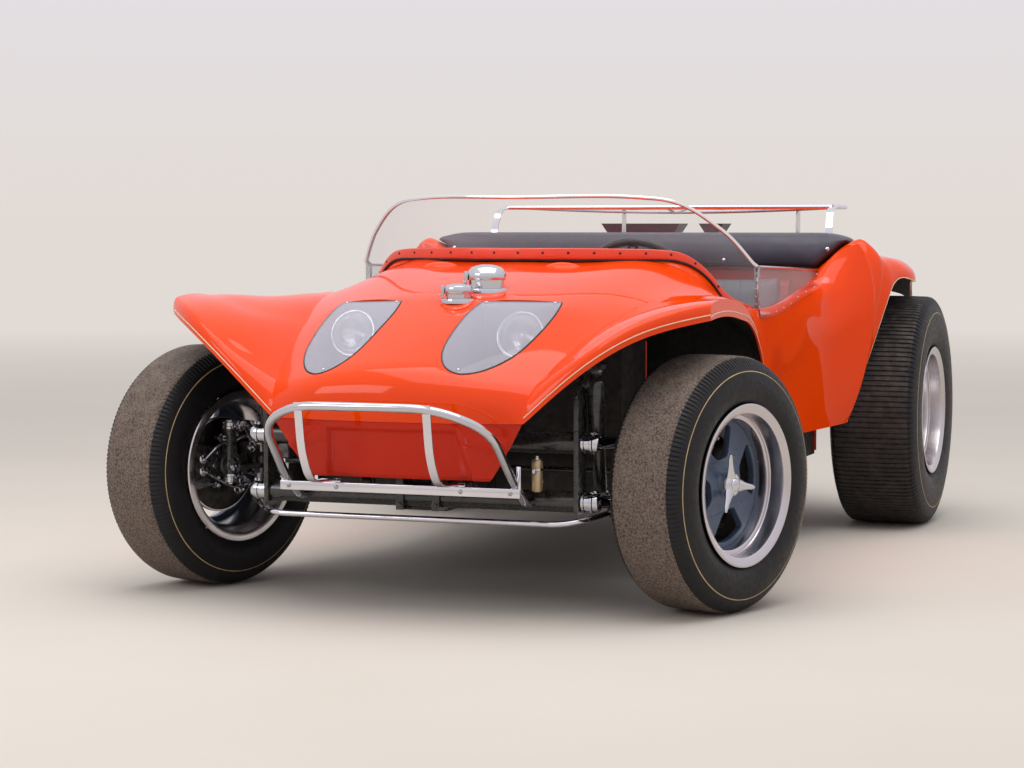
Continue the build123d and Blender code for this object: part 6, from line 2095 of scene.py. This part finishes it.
def make_floor():
    """Large pale floor that turns into the horizon's colour far from the vehicle."""
    mesh = bpy.data.meshes.new("floor")
    half = 60.0
    mesh.from_pydata([(-half, -half, 0), (half, -half, 0), (half, half, 0), (-half, half, 0)],
                     [], [(0, 1, 2, 3)])
    floor = bpy.data.objects.new("floor", mesh)
    bpy.context.scene.collection.objects.link(floor)
    material, tree, shader = finish_of("pale floor", Roughness=0.9)
    shade = placed(tree, mottle, Colour=srgb(222, 214, 202), Second_Colour=srgb(214, 205, 192),
                   Patch_Scale=0.8, Amount=0.5, Low_Roughness=0.85, High_Roughness=0.95)
    tree.links.new(shade["Colour"], shader.inputs["Base Color"])
    place = tree.nodes.new("ShaderNodeTexCoord")
    length = tree.nodes.new("ShaderNodeVectorMath")
    length.operation = "LENGTH"
    tree.links.new(place.outputs["Object"], length.inputs[0])
    fade_from, fade_to = 4.0, 16.0
    far = span(tree, length.outputs["Value"], fade_from, fade_to)
    share = sums(tree, "MULTIPLY", far, seen_rays(tree))
    glow = tree.nodes.new("ShaderNodeEmission")
    glow.inputs["Color"].default_value = horizon
    both = tree.nodes.new("ShaderNodeMixShader")
    tree.links.new(share, both.inputs[0])
    tree.links.new(shader.outputs[0], both.inputs[1])
    tree.links.new(glow.outputs[0], both.inputs[2])
    tree.links.new(both.outputs[0], tree.nodes["Material Output"].inputs["Surface"])
    mesh.materials.append(material)


make_floor()


def make_sky():
    """Soft studio surround: bright overhead, with the horizon's colour for what is seen."""
    world = bpy.data.worlds.new("studio")
    bpy.context.scene.world = world
    world.use_nodes = True
    tree = world.node_tree
    tree.nodes.clear()
    place = tree.nodes.new("ShaderNodeTexCoord")
    parts = tree.nodes.new("ShaderNodeSeparateXYZ")
    tree.links.new(place.outputs["Generated"], parts.inputs[0])
    height = span(tree, parts.outputs["Z"], 0.0, 0.75)
    light = blended(tree, height, srgb(150, 148, 156), srgb(232, 232, 238))
    low = blended(tree, span(tree, parts.outputs["Z"], 0.0, 0.16), horizon, srgb(229, 226, 236))
    plain = blended(tree, span(tree, parts.outputs["Z"], 0.16, 0.8), low, srgb(252, 250, 252))
    seen = seen_rays(tree)
    shown = blended(tree, seen, light, plain)
    sky = tree.nodes.new("ShaderNodeBackground")
    tree.links.new(shown, sky.inputs["Color"])
    strength = sums(tree, "ADD", 0.85, sums(tree, "MULTIPLY", seen, 0.15))
    tree.links.new(strength, sky.inputs["Strength"])
    output = tree.nodes.new("ShaderNodeOutputWorld")
    tree.links.new(sky.outputs[0], output.inputs["Surface"])


make_sky()


def soft_lamp(name, place, aim, size, power):
    """Large soft lamp at a place, aimed at a point."""
    light = bpy.data.lights.new(name, "AREA")
    light.shape = "RECTANGLE"
    light.size, light.size_y = size
    light.energy = power
    lamp = bpy.data.objects.new(name, light)
    lamp.location = place
    way = Vector(aim) - Vector(place)
    lamp.rotation_euler = way.to_track_quat("-Z", "Y").to_euler()
    bpy.context.scene.collection.objects.link(lamp)


soft_lamp("overhead softbox", (0.5, -1.0, 5.5), (0, 0, 0.4), (6.0, 5.0), 195.0)
soft_lamp("front softbox", (-3.5, -5.5, 3.5), (0, 0, 0.5), (3.0, 2.0), 60.0)

bpy.context.scene.view_settings.view_transform = "Standard"
